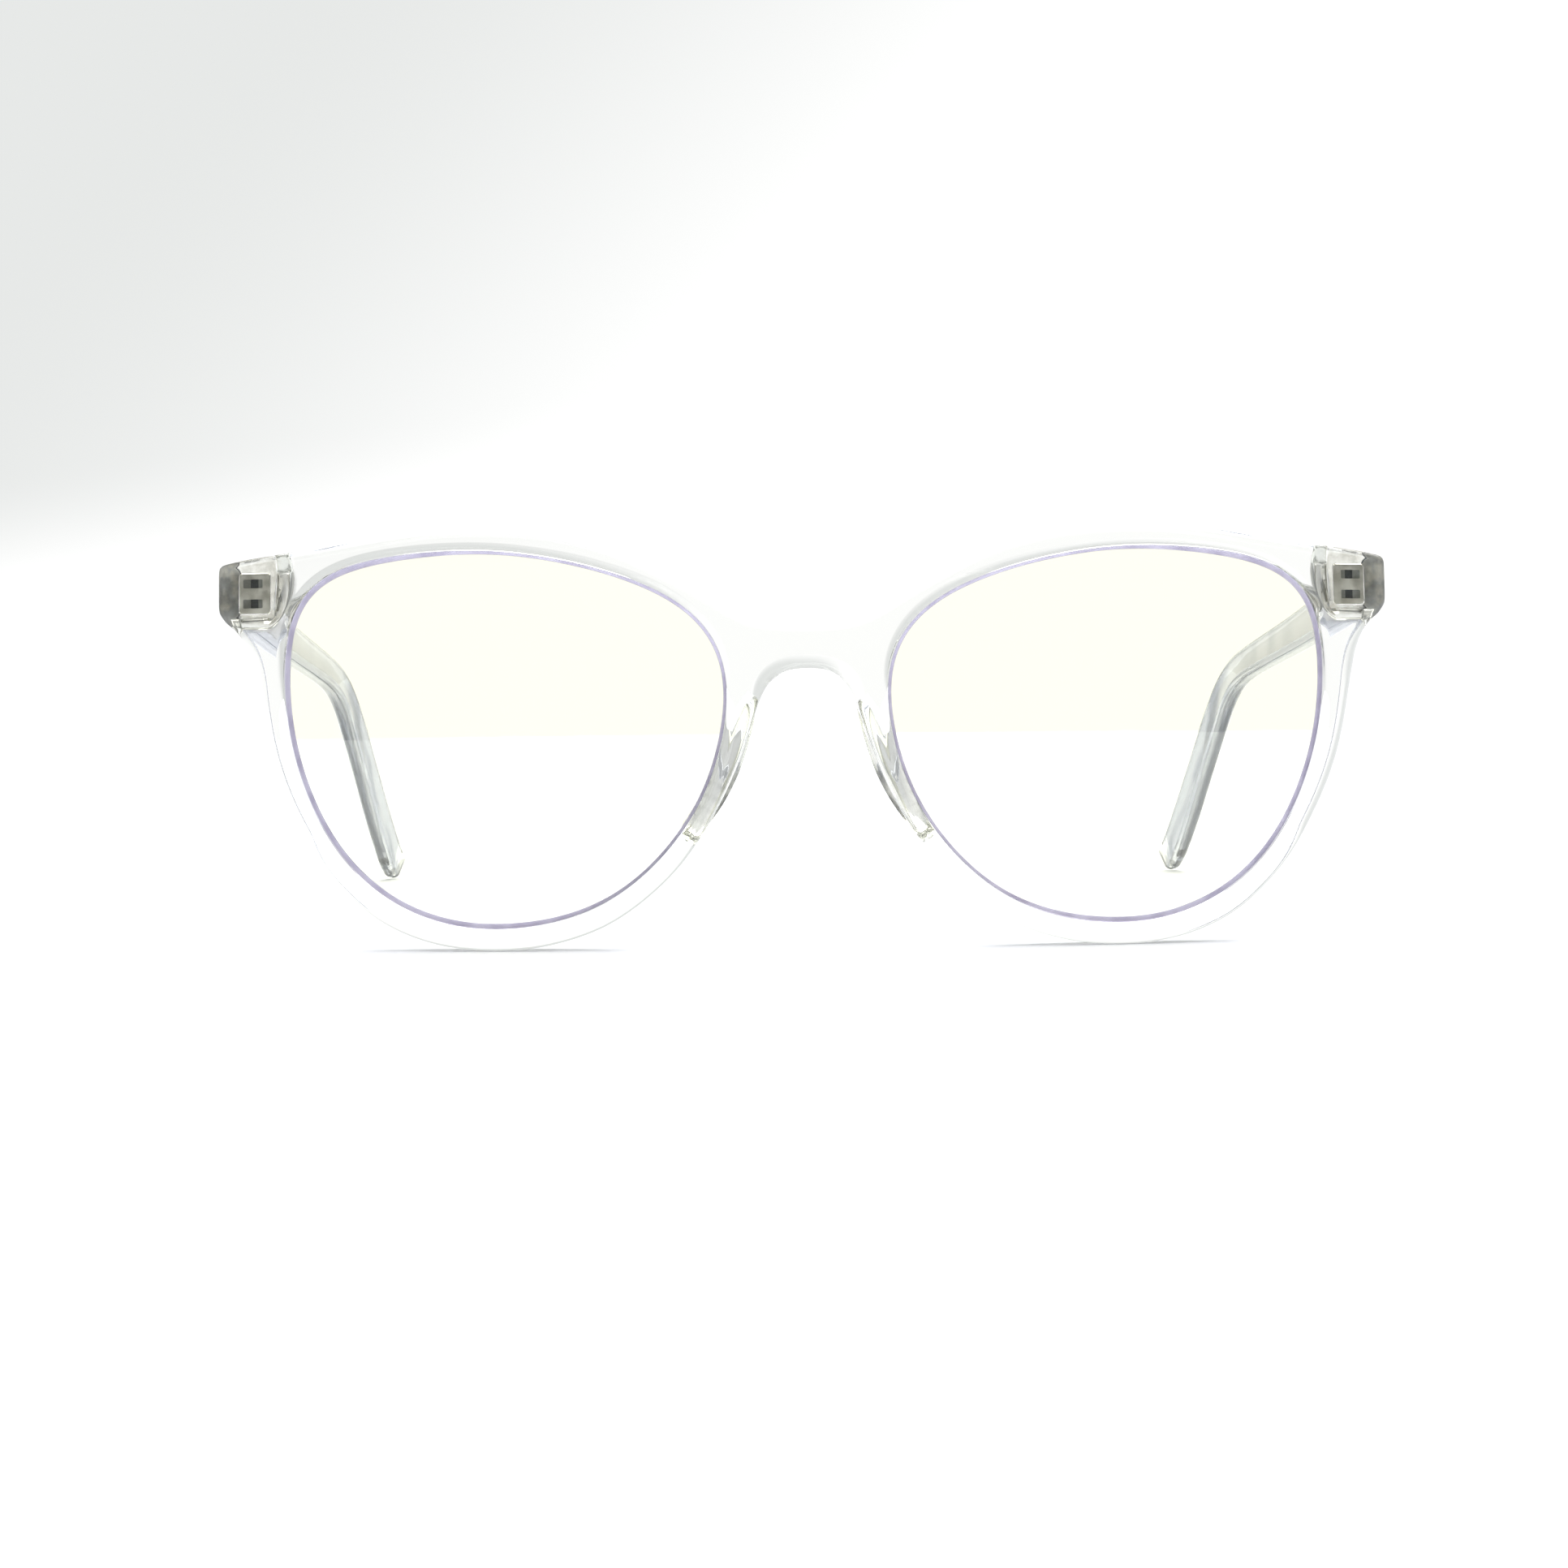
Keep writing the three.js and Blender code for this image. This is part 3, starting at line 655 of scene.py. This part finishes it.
def build_edge(shell, outline, others, is_hole):
    """Side wall and rounded edges along one outline; returns the rings where the faces start."""
    # material is inwards of the outline and outwards of a hole
    normals = normals_in(outline) * (-1 if is_hole else 1)
    gap = nearest(outline, others)
    depth, width, back_depth, back_width = edge_sizes(outline, gap, is_hole)
    front_rings, back_rings = [], []
    sides = [
        (front_rings, y_front, depth, width),
        (back_rings, y_back, -back_depth, back_width),
    ]

    def add_rings(along, extra, down):
        for rings, surface, rise, reach in sides:
            flat = outline + normals * (reach * along + extra)[:, None]
            y = surface(flat[:, 0], flat[:, 1]) + rise * down
            rings.append(shell.add_ring(flat, y))

    full_along, full_down = 1 - math.cos(EDGE_ARC[-1]), math.sin(EDGE_ARC[-1])
    for t in EDGE_ARC:  # from the side wall to the face
        add_rings((1 - np.cos(t)) / full_along, 0, 1 - np.sin(t) / full_down)
    # one more ring on each face, so that the crease stays fine
    add_rings(1, 0.12, 0)

    wall = []
    if is_hole:
        middle = mid_y(outline[:, 0], outline[:, 1])
        for dy, inset in GROOVE:
            wall.append(shell.add_ring(outline + normals * inset, middle + dy))
    else:
        points = np.array(shell.points)
        front, back = points[front_rings[0]], points[back_rings[0]]
        for f in (0.25, 0.5, 0.75):
            wall.append(shell.add(front * (1 - f) + back * f))
    shell.join(front_rings[::-1] + wall + back_rings)
    return front_rings[-1], back_rings[-1]


def inside(points, polygon):
    x, z = points[:, 0], points[:, 1]
    result = np.zeros(len(points), bool)
    for (xi, zi), (xj, zj) in zip(polygon, np.roll(polygon, 1, 0)):
        if zi != zj:
            crosses = (zi > z) != (zj > z)
            result ^= crosses & (x < (xj - xi) * (z - zi) / (zj - zi) + xi)
    return result


def within(points, outline, holes):
    result = inside(points, outline)
    for hole in holes:
        result &= ~inside(points, hole)
    return result


def face_grid(back):
    """Flat points to mesh a face over, finer at the endpieces on the back."""
    step = 0.8
    grid = []
    for i, z in enumerate(np.arange(-1, 52, step * 0.866)):
        for x in np.arange(-71, 71.5, step):
            grid.append((x + (step / 2 if i % 2 else 0), z))
    grid = np.array(grid)
    x = np.abs(grid[:, 0])
    grid = grid[(x < 20) | (x > 55) | (grid[:, 1] > 40)]
    if not back:
        return grid
    fine = []
    for z in np.arange(37.7, 49, 0.2):  # rows along the shoulder's own contours
        low, high = end_span(z)
        shoulder = np.linspace(low, high, 10)
        block = np.arange(high + 0.25, 64.6, 0.3)
        rim = np.arange(low - 0.3, 60.0, -0.4)
        for x in (*shoulder, *block, *rim):
            if x < 69:
                fine += [(x, z), (-x, z)]
    for x in np.arange(64.4, 70.3, 0.35):
        for z in np.arange(38.0, 40.4, 0.2):
            fine += [(x, z), (-x, z)]
    level = np.array([end_weight(x, z) in (0.0, 1.0) for x, z in grid])
    return np.vstack([grid[level], np.array(fine)])


def cap_face(shell, rings, back):
    """Meshes the front or back face between its rings, with the hinge pockets on the back."""
    points = np.array(shell.points)
    outlines = [points[ring][:, [0, 2]] for ring in rings]
    grid = face_grid(back)
    grid = grid[within(grid, outlines[0], outlines[1:])]
    grid = grid[nearest(grid, np.vstack(outlines)) > 0.3]
    pockets = []
    if back:
        x0, x1 = PLATE_X0 - PLATE_CLEAR, PLATE_X1 + PLATE_CLEAR
        z0, z1 = PLATE_Z0 - PLATE_CLEAR, PLATE_Z1 + PLATE_CLEAR
        pocket = np.array(rounded_rect(x0, x1, z0, z1, 0.45, 7))
        pockets = [pocket, mirrored(pocket)]
        near_x = np.abs(np.abs(grid[:, 0]) - (x0 + x1) / 2) < (x1 - x0) / 2 + 0.2
        near_z = np.abs(grid[:, 1] - (z0 + z1) / 2) < (z1 - z0) / 2 + 0.2
        grid = grid[~(near_x & near_z)]

    edges, start = [], 0
    for loop in outlines + pockets:
        count = len(loop)
        edges += [(start + i, start + (i + 1) % count) for i in range(count)]
        start += count
    flat = [Vector(point) for point in np.vstack(outlines + pockets + [grid])]
    flat, _, triangles, sources, _, _ = delaunay_2d_cdt(flat, edges, [], 0, 1e-7)
    flat = np.array([tuple(point) for point in flat])
    centers = np.array([flat[list(triangle)].mean(0) for triangle in triangles])
    kept = within(centers, outlines[0], outlines[1:] + pockets)

    ring_ids = np.concatenate(rings)
    ids = np.full(len(flat), -1)
    pocket_ids = {}
    for i, source in enumerate(sources):
        k = min(source) if source else -1
        if 0 <= k < len(ring_ids):
            ids[i] = ring_ids[k]
        else:
            x, z = flat[i]
            y = float(y_back(x, z)) if back else float(y_front(x, z))
            ids[i] = shell.add([(x, y, z)])[0]
            pocket_ids[k] = ids[i]
    for triangle, keep in zip(triangles, kept):
        if keep:
            shell.faces.append(tuple(ids[list(triangle)]))

    start = len(ring_ids)
    for pocket in pockets:
        count = len(pocket)
        top = np.array([pocket_ids[start + i] for i in range(count)])
        start += count
        low = shell.add_ring(pocket, np.full(count, POCKET_FLOOR_Y + 0.12))
        center = pocket.mean(0)
        smaller = (pocket - center) * 0.95 + center
        floor = shell.add_ring(smaller, np.full(count, POCKET_FLOOR_Y))
        shell.join([top, low, floor])
        shell.faces.append(tuple(floor))


def build_front(name):
    shell = Shell()
    outer = front_outline(840)
    hole = lens_outline(300)
    holes = [hole, mirrored(hole)]
    starts = [build_edge(shell, outer, np.vstack(holes), is_hole=False)]
    for hole in holes:
        starts.append(build_edge(shell, hole, outer, is_hole=True))
    front_rings, back_rings = zip(*starts)
    cap_face(shell, front_rings, back=False)
    cap_face(shell, back_rings, back=True)
    ob = make(name, shell, FRAME_MAT, sharp=38)

    # the endpieces are matt: fully on the back of the block, partly through its body
    x, y, z = design_points(ob).T
    butt = (end_weight(x, z) > 0.97) * (y > POCKET_FLOOR_Y - 0.05)
    block = 0.60 * smooth01((np.abs(x) - 61.5) / 2) * smooth01((z - 37.6) / 1.5)
    write_attribute(ob, "mask", np.maximum(butt, block))
    return ob


# ------------------------------------------------------------------- lenses
# rings of each lens face, as parts of the way from its centre to its edge
LENS_RINGS = [0.12, 0.24, 0.36, 0.48, 0.6, 0.7, 0.8, 0.88, 0.95, 0.996, 1.0]
# the lens edge from front to back: distance outwards, y from the middle surface
LENS_EDGE = [
    (-0.12, -LENS_T / 2 + 0.16), (-0.02, -0.52), (LENS_V, -0.05),
    (LENS_V, 0.05), (-0.02, 0.52), (-0.12, LENS_T / 2 - 0.16),
]


def build_lens(name):
    outline = lens_outline(320)
    outward = -normals_in(outline)
    center = np.array([LENS_X, LENS_Z])
    half = LENS_T / 2
    shell = Shell()
    rings = []

    def ring(flat, dy):
        rings.append(shell.add_ring(flat, mid_y(flat[:, 0], flat[:, 1]) + dy))

    # the coated band round the front is broader on the temple side and below
    x, z = outline.T
    broad = smooth01((x - LENS_X + 0.4 * (LENS_Z - z) + 12) / 24)
    front_edge = outline - outward * (0.35 + 0.32 * broad)[:, None]
    back_edge = outline - outward * 0.2
    for f in LENS_RINGS:
        ring(center + (front_edge - center) * f, -half)
    for out, dy in LENS_EDGE:
        ring(outline + outward * out, dy)
    for f in LENS_RINGS[::-1]:
        ring(center + (back_edge - center) * f, half)
    shell.join(rings)
    for end, dy in ((rings[0], -half), (rings[-1], half)):
        shell.fan(end, (LENS_X, float(mid_y(LENS_X, LENS_Z)) + dy, LENS_Z))
    ob = make(name, shell, LENS_MAT, sharp=25)

    # violet from the front face's last ring over the V edge; the back stays clear
    mask = np.zeros(len(ob.data.vertices))
    first = len(LENS_RINGS) - 1
    mask[np.concatenate(rings[first:first + 6])] = 1
    write_attribute(ob, "mask", mask)
    return ob


# ----------------------------------------------------------------- nose pad
lower = catmull(LOW_LINE, 500)
NOSE_LINE = lower[(lower[:, 0] < 24) & (lower[:, 1] < 32.2)]
NOSE_LINE = NOSE_LINE[np.argsort(NOSE_LINE[:, 1])]


def nose_edge(z):
    """x of the rim's nose-side edge at height z."""
    return np.interp(z, NOSE_LINE[:, 1], NOSE_LINE[:, 0])


def pad_point(px, py, pz):
    """A point of the unit ball, moved onto the pad."""
    z = PAD_Z + pz * PAD_RZ
    slim = 1 - 0.25 * pz
    middle = float(nose_edge(z)) + PAD_INSET - 0.4 * max(0.0, pz) ** 2
    x = middle + px * PAD_RX * (1 - 0.22 * pz)
    return x + PAD_SPLAY * py * PAD_RY * slim, PAD_Y + py * PAD_RY * slim, z


def build_rim_slab():
    """Everything in front of the rim's back surface, round the left pad."""
    columns, rows = 40, 60
    x, z = np.meshgrid(np.linspace(-2, 26, columns), np.linspace(2, 44, rows))
    x, z = x.ravel(), z.ravel()
    flat = np.stack([x, z], 1)
    shell = Shell()
    near = shell.add_ring(flat, mid_y(x, z) + FRONT_T / 2 + PAD_GAP).reshape(rows, columns)
    far = shell.add_ring(flat, np.full(len(x), -10.0)).reshape(rows, columns)
    for j in range(rows - 1):
        for i in range(columns - 1):
            corners = [(j, i), (j, i + 1), (j + 1, i + 1), (j + 1, i)]
            shell.faces.append(tuple(near[c] for c in corners))
            shell.faces.append(tuple(far[corners[k]] for k in (0, 3, 2, 1)))
    rim = np.concatenate([near[0, :-1], near[:-1, -1], near[-1, :0:-1], near[:0:-1, 0]])
    shell.join([rim, rim + near.size])
    return make("slab", shell, PAD_MAT)


def build_pad(name):
    around, down = 96, 64
    shell = Shell()
    rings = []
    for j in range(1, down):
        angle = math.pi * j / down
        pz, r = math.cos(angle), math.sin(angle)
        turns = [2 * math.pi * i / around for i in range(around)]
        rings.append(shell.add([pad_point(r * math.cos(a), r * math.sin(a), pz) for a in turns]))
    shell.join(rings)
    shell.fan(rings[0], pad_point(0, 0, 1.0))
    shell.fan(rings[-1], pad_point(0, 0, -1.0))
    ob = make(name, shell, PAD_MAT, sharp=50)
    boolean(ob, build_rim_slab(), "DIFFERENCE")  # its front lies against the back of the rim
    shade(ob, 40)

    # the lower part of the side towards the nose is less polished and darker, in spots
    x, y, z = design_points(ob).T
    pz = (z - PAD_Z) / PAD_RZ
    offset = x - nose_edge(z) - PAD_INSET + 0.4 * np.maximum(0, pz) ** 2
    px = (offset - PAD_SPLAY * (y - PAD_Y)) / (PAD_RX * (1 - 0.22 * pz))
    r = np.sqrt(np.clip(1 - pz ** 2, 0.02, 1))
    nose_side = smooth01((0.02 - px / r) / 0.25)
    low = smooth01((0.05 - pz) / 0.2) * smooth01((pz + 0.92) / 0.2)
    write_attribute(ob, "mask", nose_side * low * smooth01((PAD_Y + 1.6 - y) / 1.6))
    return ob


# ------------------------------------------------------------------ hinges
PIN = (HINGE_X, HINGE_Y)
# the front plate's two leaves, Z0 to Z1 and Z2 to Z3, with the temple's arm between
LEAF_Z1, LEAF_Z2 = HINGE_Z - LEAF_GAP / 2, HINGE_Z + LEAF_GAP / 2
LEAF_Z0, LEAF_Z3 = LEAF_Z1 - LEAF_H, LEAF_Z2 + LEAF_H


def cut_bore(ob):
    bore = prism("bore", circle(PIN, BORE_R, 40), LEAF_Z0 - 1, LEAF_Z3 + 1, "z", HINGE_MAT)
    boolean(ob, bore, "DIFFERENCE")


def cut_windows(plate):
    """Stepped windows in the front of the plate, one behind each leaf, with painted shade in them.
    """
    shade_x0, shade_x1 = WINDOW_X0 + 0.5, WINDOW_X1 - 0.95
    # x range, margin to the leaf's height, corner radius, points per corner, depth
    steps = [
        (WINDOW_X0, WINDOW_X1, 0.08, 0.12, 4, 0.16),
        (shade_x0, shade_x1, 0.07, 0.02, 3, WINDOW_DEPTH),
    ]
    for z in (LEAF_Z0, LEAF_Z2):
        for x0, x1, margin, radius, count, depth in steps:
            loop = rounded_rect(x0, x1, z + margin, z + LEAF_H - margin, radius, count)
            cutter = prism("window", loop, PLATE_Y0 - 1, PLATE_Y0 + depth, "y", HINGE_MAT)
            boolean(plate, cutter, "DIFFERENCE")

    # painted shade: mid-grey on the step's ledge, near black in the deep part
    plate.data.materials.append(LEDGE_SHADE_MAT)
    ledge = len(plate.data.materials) - 1
    plate.data.materials.append(WINDOW_SHADE_MAT)
    for face in plate.data.polygons:
        x, y, z = face.center / MM
        y -= ORIGIN_Y
        z -= ORIGIN_Z
        in_depth = PLATE_Y0 + 0.02 < y < PLATE_Y0 + WINDOW_DEPTH + 0.01
        in_height = any(a + 0.06 < z < a + LEAF_H - 0.06 for a in (LEAF_Z0, LEAF_Z2))
        if WINDOW_X0 - 0.01 < x < WINDOW_X1 + 0.01 and in_depth and in_height:
            in_shade = shade_x0 - 0.01 < x < shade_x1 + 0.01
            face.material_index = ledge + 1 if in_shade else ledge


def build_front_plate(name):
    loop = rounded_rect(PLATE_X0, PLATE_X1, PLATE_Z0, PLATE_Z1, 0.4)
    plate = prism(name, loop, PLATE_Y0, END_BACK_Y, "y", HINGE_MAT, bevel=0.1)
    # a leaf is a half round barrel whose foot runs forward into the plate
    foot = END_BACK_Y - 0.5
    keyhole = circle(PIN, BARREL_R, 28, 0, 180)
    keyhole += [(HINGE_X - BARREL_R, foot), (HINGE_X + BARREL_R, foot)]
    for low, high in ((LEAF_Z0, LEAF_Z1), (LEAF_Z2, LEAF_Z3)):
        leaf = prism("leaf", keyhole, low, high, "z", HINGE_MAT, bevel=0.1)
        boolean(plate, leaf, "UNION")
    cut_bore(plate)
    cut_windows(plate)
    return plate


def build_temple_plate(name):
    loop = rounded_rect(LET_Y0, LET_Y1, LET_Z0, LET_Z1, 0.5)
    plate = prism(name, loop, LET_X0, LET_X1, "x", HINGE_MAT, bevel=0.12)
    root_x, clear = LET_X0 + 0.4, 0.12
    loop = [(root_x, LET_Y0), (root_x, HINGE_Y + BARREL_R * math.sin(math.radians(60)))]
    loop += circle(PIN, BARREL_R, 28, 60, 335)
    arm = prism("arm", loop, LEAF_Z1 + clear, LEAF_Z2 - clear, "z", HINGE_MAT, bevel=0.08)
    boolean(plate, arm, "UNION")
    cut_bore(plate)
    return plate


def build_screw(name):
    top = LEAF_Z3
    shank = circle(PIN, SCREW_R, 40)
    screw = prism(name, shank, LEAF_Z0 + 0.1, top + 0.2, "z", SCREW_MAT, bevel=0.08)
    head = prism(
        "head", circle(PIN, HEAD_R, 48), top + 0.05, top + 0.6, "z", SCREW_MAT,
        bevel=0.16, segments=4,
    )
    boolean(screw, head, "UNION")
    corners = [(-2, -0.14), (2, -0.14), (2, 0.14), (-2, 0.14)]
    loop = [(HINGE_X + dx, HINGE_Y + dy) for dx, dy in corners]
    boolean(screw, prism("slot", loop, top + 0.35, top + 1, "z", SCREW_MAT), "DIFFERENCE")
    return screw


# ----------------------------------------------------------------- temples
def temple_run(y):
    """0 on the straight part, rising to 1 at the ear end."""
    return np.clip((y - TEMPLE_STRAIGHT) / (TEMPLE_END_Y - TEMPLE_STRAIGHT), 0, None)


def temple_middle_x(y):
    return OUTER_X - TEMPLE_T / 2 - TEMPLE_BOW * temple_run(y) ** 1.8


def temple_sections():
    """Along the bar: y, z, direction in y and in z, half height, half thickness."""
    y, z, height = catmull(TEMPLE_LINE, 420).T
    for _ in range(24):  # keeps the ends, evens out the path
        for v in (y, z, height):
            v[1:-1] = 0.5 * v[1:-1] + 0.25 * (v[2:] + v[:-2])
    path = np.concatenate([[0], np.cumsum(np.hypot(np.diff(y), np.diff(z)))])
    length = path[-1]
    # more sections at the tip, so that it can round off
    tip = 1.52
    tip_start = length - tip
    bunched = tip * np.sin(np.linspace(0, np.pi / 2, 26)[1:])
    along = np.concatenate([np.linspace(0, tip_start, 230), tip_start + bunched])
    y, z, height = [np.interp(along, path, v) for v in (y, z, height)]
    spaced = along + np.arange(len(along)) * 1e-9  # no two stations the same
    dy, dz = np.gradient(y, spaced), np.gradient(z, spaced)
    tail = along > tip_start
    steady = np.argmax(tail) - 2
    dy[tail], dz[tail] = dy[steady], dz[steady]
    # the first sections stand square to y
    blend = np.clip(along / (0.06 * length), 0, 1)
    size = np.hypot(dy, dz)
    dy, dz = dy / size * blend + (1 - blend), dz / size * blend
    size = np.hypot(dy, dz)
    shrink = np.ones_like(along)
    rounding = np.sqrt(np.clip(1 - ((along[tail] - tip_start) / tip) ** 2, 0, 1))
    shrink[tail] = 0.55 + 0.45 * rounding
    thickness = TEMPLE_T + (TEMPLE_TIP_T - TEMPLE_T) * temple_run(y)
    return y, z, dy / size, dz / size, height / 2 * shrink, thickness / 2 * shrink


def soften_end(shell, ring):
    """Rounds the bar's front end; returns the two rings added before the given one."""
    radius = 0.25
    lip = np.array([shell.points[i] for i in ring])
    center = lip.mean(0)
    for i in ring:
        x, y, z = shell.points[i]
        shell.points[i] = (x, y + radius, z)
    inner = lip.copy()
    for axis, size in ((0, TEMPLE_T), (2, TEMPLE_LINE[0][2])):
        inner[:, axis] = center[axis] + (lip[:, axis] - center[axis]) * (1 - 2 * radius / size)
    between = (lip + inner) / 2
    between[:, 1] += radius * 0.3
    between_ring = shell.add(between)
    return [shell.add(inner), between_ring]


def build_temple(name):
    # a rounded rectangle: which corner each point belongs to, and its place on the arc
    corners, arcs = [], []
    for i, corner in enumerate([(1, 1), (-1, 1), (-1, -1), (1, -1)]):
        for degrees in np.linspace(0, 90, 13):
            angle = math.radians(90 * i + degrees)
            corners.append(corner)
            arcs.append((math.cos(angle), math.sin(angle)))
    corners, arcs = np.array(corners), np.array(arcs)
    corner_radius = 1.05

    shell = Shell()
    rings = []
    for y, z, along_y, along_z, half_height, half_thick in zip(*temple_sections()):
        half = np.array([half_thick, half_height])
        radius = np.minimum(corner_radius, half * 0.98)
        x, rise = (corners * (half - radius) + radius * arcs).T
        turn = math.radians(TEMPLE_TURN) * float(smooth01((y - 82) / 26))
        side = x * math.cos(turn) - rise * math.sin(turn)
        up = rise * math.cos(turn) + x * math.sin(turn)
        middle = temple_middle_x(y)
        rings.append(shell.add(zip(middle + side, y - along_z * up, z + along_y * up)))
    rings = soften_end(shell, rings[0]) + rings
    shell.join(rings)
    shell.faces += [tuple(rings[0]), tuple(rings[-1])]
    ob = make(name, shell, TEMPLE_MAT, sharp=35)
    clear = PLATE_CLEAR
    loop = rounded_rect(LET_Y0 - clear, LET_Y1 + clear, LET_Z0 - clear, LET_Z1 + clear, 0.6)
    pocket = prism("pocket", loop, TEMPLE_IN_X - 1.0, LET_X1 + clear, "x", TEMPLE_MAT)
    boolean(ob, pocket, "DIFFERENCE")
    shade(ob, 35)

    x, y, _ = design_points(ob).T
    place = (x - temple_middle_x(y)) / (TEMPLE_T / 2)
    # the painted stripes are plainer inside along the straight part, and the tip has none
    place = np.where(place < 0, place * (0.15 + 0.85 * smooth01((y - 85) / 25)), place)
    tip = smooth01((y - TEMPLE_LINE[-1][0] + 3.2) / 2.2)
    write_attribute(ob, "across", place * (1 - tip) - 1.15 * tip)

    ob.data.materials.append(END_MAT)  # the front end is matt
    for face in ob.data.polygons:
        if face.center.y / MM - ORIGIN_Y < TEMPLE_LINE[0][0] + 0.12:
            face.material_index = len(ob.data.materials) - 1
    return ob


# ---------------------------------------------------------------- assembly
def seat(ob, node, body):
    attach(ob, body)
    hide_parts(node)


def seat_pair(ob, node, body):
    """Seats a left part, then its mirrored twin."""
    seat(ob, node, body)
    name, node, body = [text.replace("left", "right") for text in (ob.name, node, body)]
    seat(copy_mirrored(ob, name), node, body)


seat(build_front("clear_front"), "frame_front", "front")
seat_pair(build_lens("lens_glass_left"), "lens_left", "front")
seat_pair(build_pad("pad_clear_left"), "nose_pad_left", "front")
front_plate = build_front_plate("hinge_plate_front_left")
temple_plate = build_temple_plate("hinge_plate_temple_left")
pin_screw = build_screw("hinge_pin_screw_left")
for part in (front_plate, temple_plate, pin_screw):
    shade(part, 30)
seat_pair(front_plate, "front_hinge_left", "front")
seat_pair(temple_plate, "temple_hinge_left", "temple_left")
seat_pair(pin_screw, "hinge_screw_left", "front")
seat_pair(build_temple("temple_bar_left"), "temple_left", "temple_left")


# --------------------------------------------- floor, world and light, in metres
def build_floor():
    count, radius, height = 96, 1.12, -0.00002
    mesh = bpy.data.meshes.new("floor")
    angles = [2 * math.pi * i / count for i in range(count)]
    points = [(0, 0, height)]
    points += [(radius * math.cos(a), radius * math.sin(a), height) for a in angles]
    faces = [(0, 1 + i, 1 + (i + 1) % count) for i in range(count)]
    mesh.from_pydata(points, [], faces)
    ob = bpy.data.objects.new("floor", mesh)
    bpy.context.scene.collection.objects.link(ob)
    mesh.materials.append(floor_material("pale_floor"))


def build_world():
    world = bpy.data.worlds.new("studio")
    bpy.context.scene.world = world
    world.use_nodes = True
    tree = world.node_tree
    direction = add_node(tree, "TexCoord").outputs["Generated"]
    axes = add_node(tree, "SeparateXYZ", {"Vector": direction})
    x, y, z = [axes.outputs[axis] for axis in "XYZ"]

    def step(value, start, end):
        return ranged(tree, value, span=(start, end), curve="SMOOTHSTEP")

    # the backdrop: white, falling off to a cool grey towards its upper left,
    # above a slightly tilted line near the horizon
    slant = step(calc(tree, "SUBTRACT", z, x), -0.05, 0.35)
    line = calc(tree, "MULTIPLY", calc(tree, "ADD", x, 0.26), 0.15)
    over_line = step(calc(tree, "SUBTRACT", z, line), 0.0, 0.06)
    grey = calc(tree, "MULTIPLY", slant, over_line)
    backdrop = mix(tree, grey, (1.15, 1.15, 1.145), (0.80, 0.815, 0.805))
    # a darker room to the sides and behind the camera, under a bright ceiling
    walls = mix(tree, step(y, -0.75, 0.15), (0.34, 0.35, 0.38), (0.72, 0.73, 0.75))
    room = mix(tree, step(z, 0.40, 0.72), walls, (1.0, 1.0, 1.0))
    set_inputs(tree, tree.nodes["Background"], {
        "Color": mix(tree, step(y, 0.35, 0.86), room, backdrop),
        "Strength": 1.0,
    })


def build_sun():
    """A wide soft light from above that keeps the floor evenly white."""
    sun = bpy.data.objects.new("soft_overhead", bpy.data.lights.new("soft_overhead", "SUN"))
    sun.data.energy = 2.9
    sun.data.angle = math.radians(70)
    sun.rotation_euler = (math.radians(-12), math.radians(8), 0)
    bpy.context.scene.collection.objects.link(sun)


# ------------------------------------------------------------------- camera
CAMERA_PLACE = (-11.21946794, -356.60273759, 33.17536978)  # design mm
YAW, PITCH, ROLL = -1.34008582, 2.17857914, 0.54683771  # degrees


def build_camera():
    """In front of the glasses, looking back along +y."""
    camera = bpy.data.objects.new("camera", bpy.data.cameras.new("camera"))
    bpy.context.scene.collection.objects.link(camera)
    bpy.context.scene.camera = camera
    camera.data.sensor_fit = "HORIZONTAL"
    camera.data.sensor_width = 36.0
    camera.data.lens = 69.3354037
    camera.data.clip_start = 0.01
    camera.data.clip_end = 20
    camera.location = (np.array(CAMERA_PLACE) + ORIGIN) * MM
    angles = [math.radians(a) for a in (YAW, PITCH, ROLL)]
    cos_yaw, cos_pitch, cos_roll = map(math.cos, angles)
    sin_yaw, sin_pitch, sin_roll = map(math.sin, angles)
    yaw = np.array([[cos_yaw, -sin_yaw, 0], [sin_yaw, cos_yaw, 0], [0, 0, 1]])
    pitch = np.array([[1, 0, 0], [0, cos_pitch, sin_pitch], [0, -sin_pitch, cos_pitch]])
    roll = np.array([[cos_roll, 0, sin_roll], [0, 1, 0], [-sin_roll, 0, cos_roll]])
    right, forward, up = (yaw @ pitch @ roll).T
    axes = np.stack([right, up, -forward], 1)
    camera.rotation_euler = Matrix(axes.tolist()).to_euler()


def set_render():
    scene = bpy.context.scene
    cycles = scene.cycles
    cycles.max_bounces = 24
    cycles.transmission_bounces = 20
    cycles.glossy_bounces = 12
    cycles.diffuse_bounces = 3
    cycles.transparent_max_bounces = 16
    cycles.caustics_refractive = True
    cycles.caustics_reflective = False
    cycles.sample_clamp_indirect = 6
    cycles.use_denoising = True
    scene.view_settings.view_transform = "Standard"
    scene.view_settings.exposure = 0.0


build_floor()
build_world()
build_sun()
build_camera()
set_render()

bpy.context.view_layer.update()
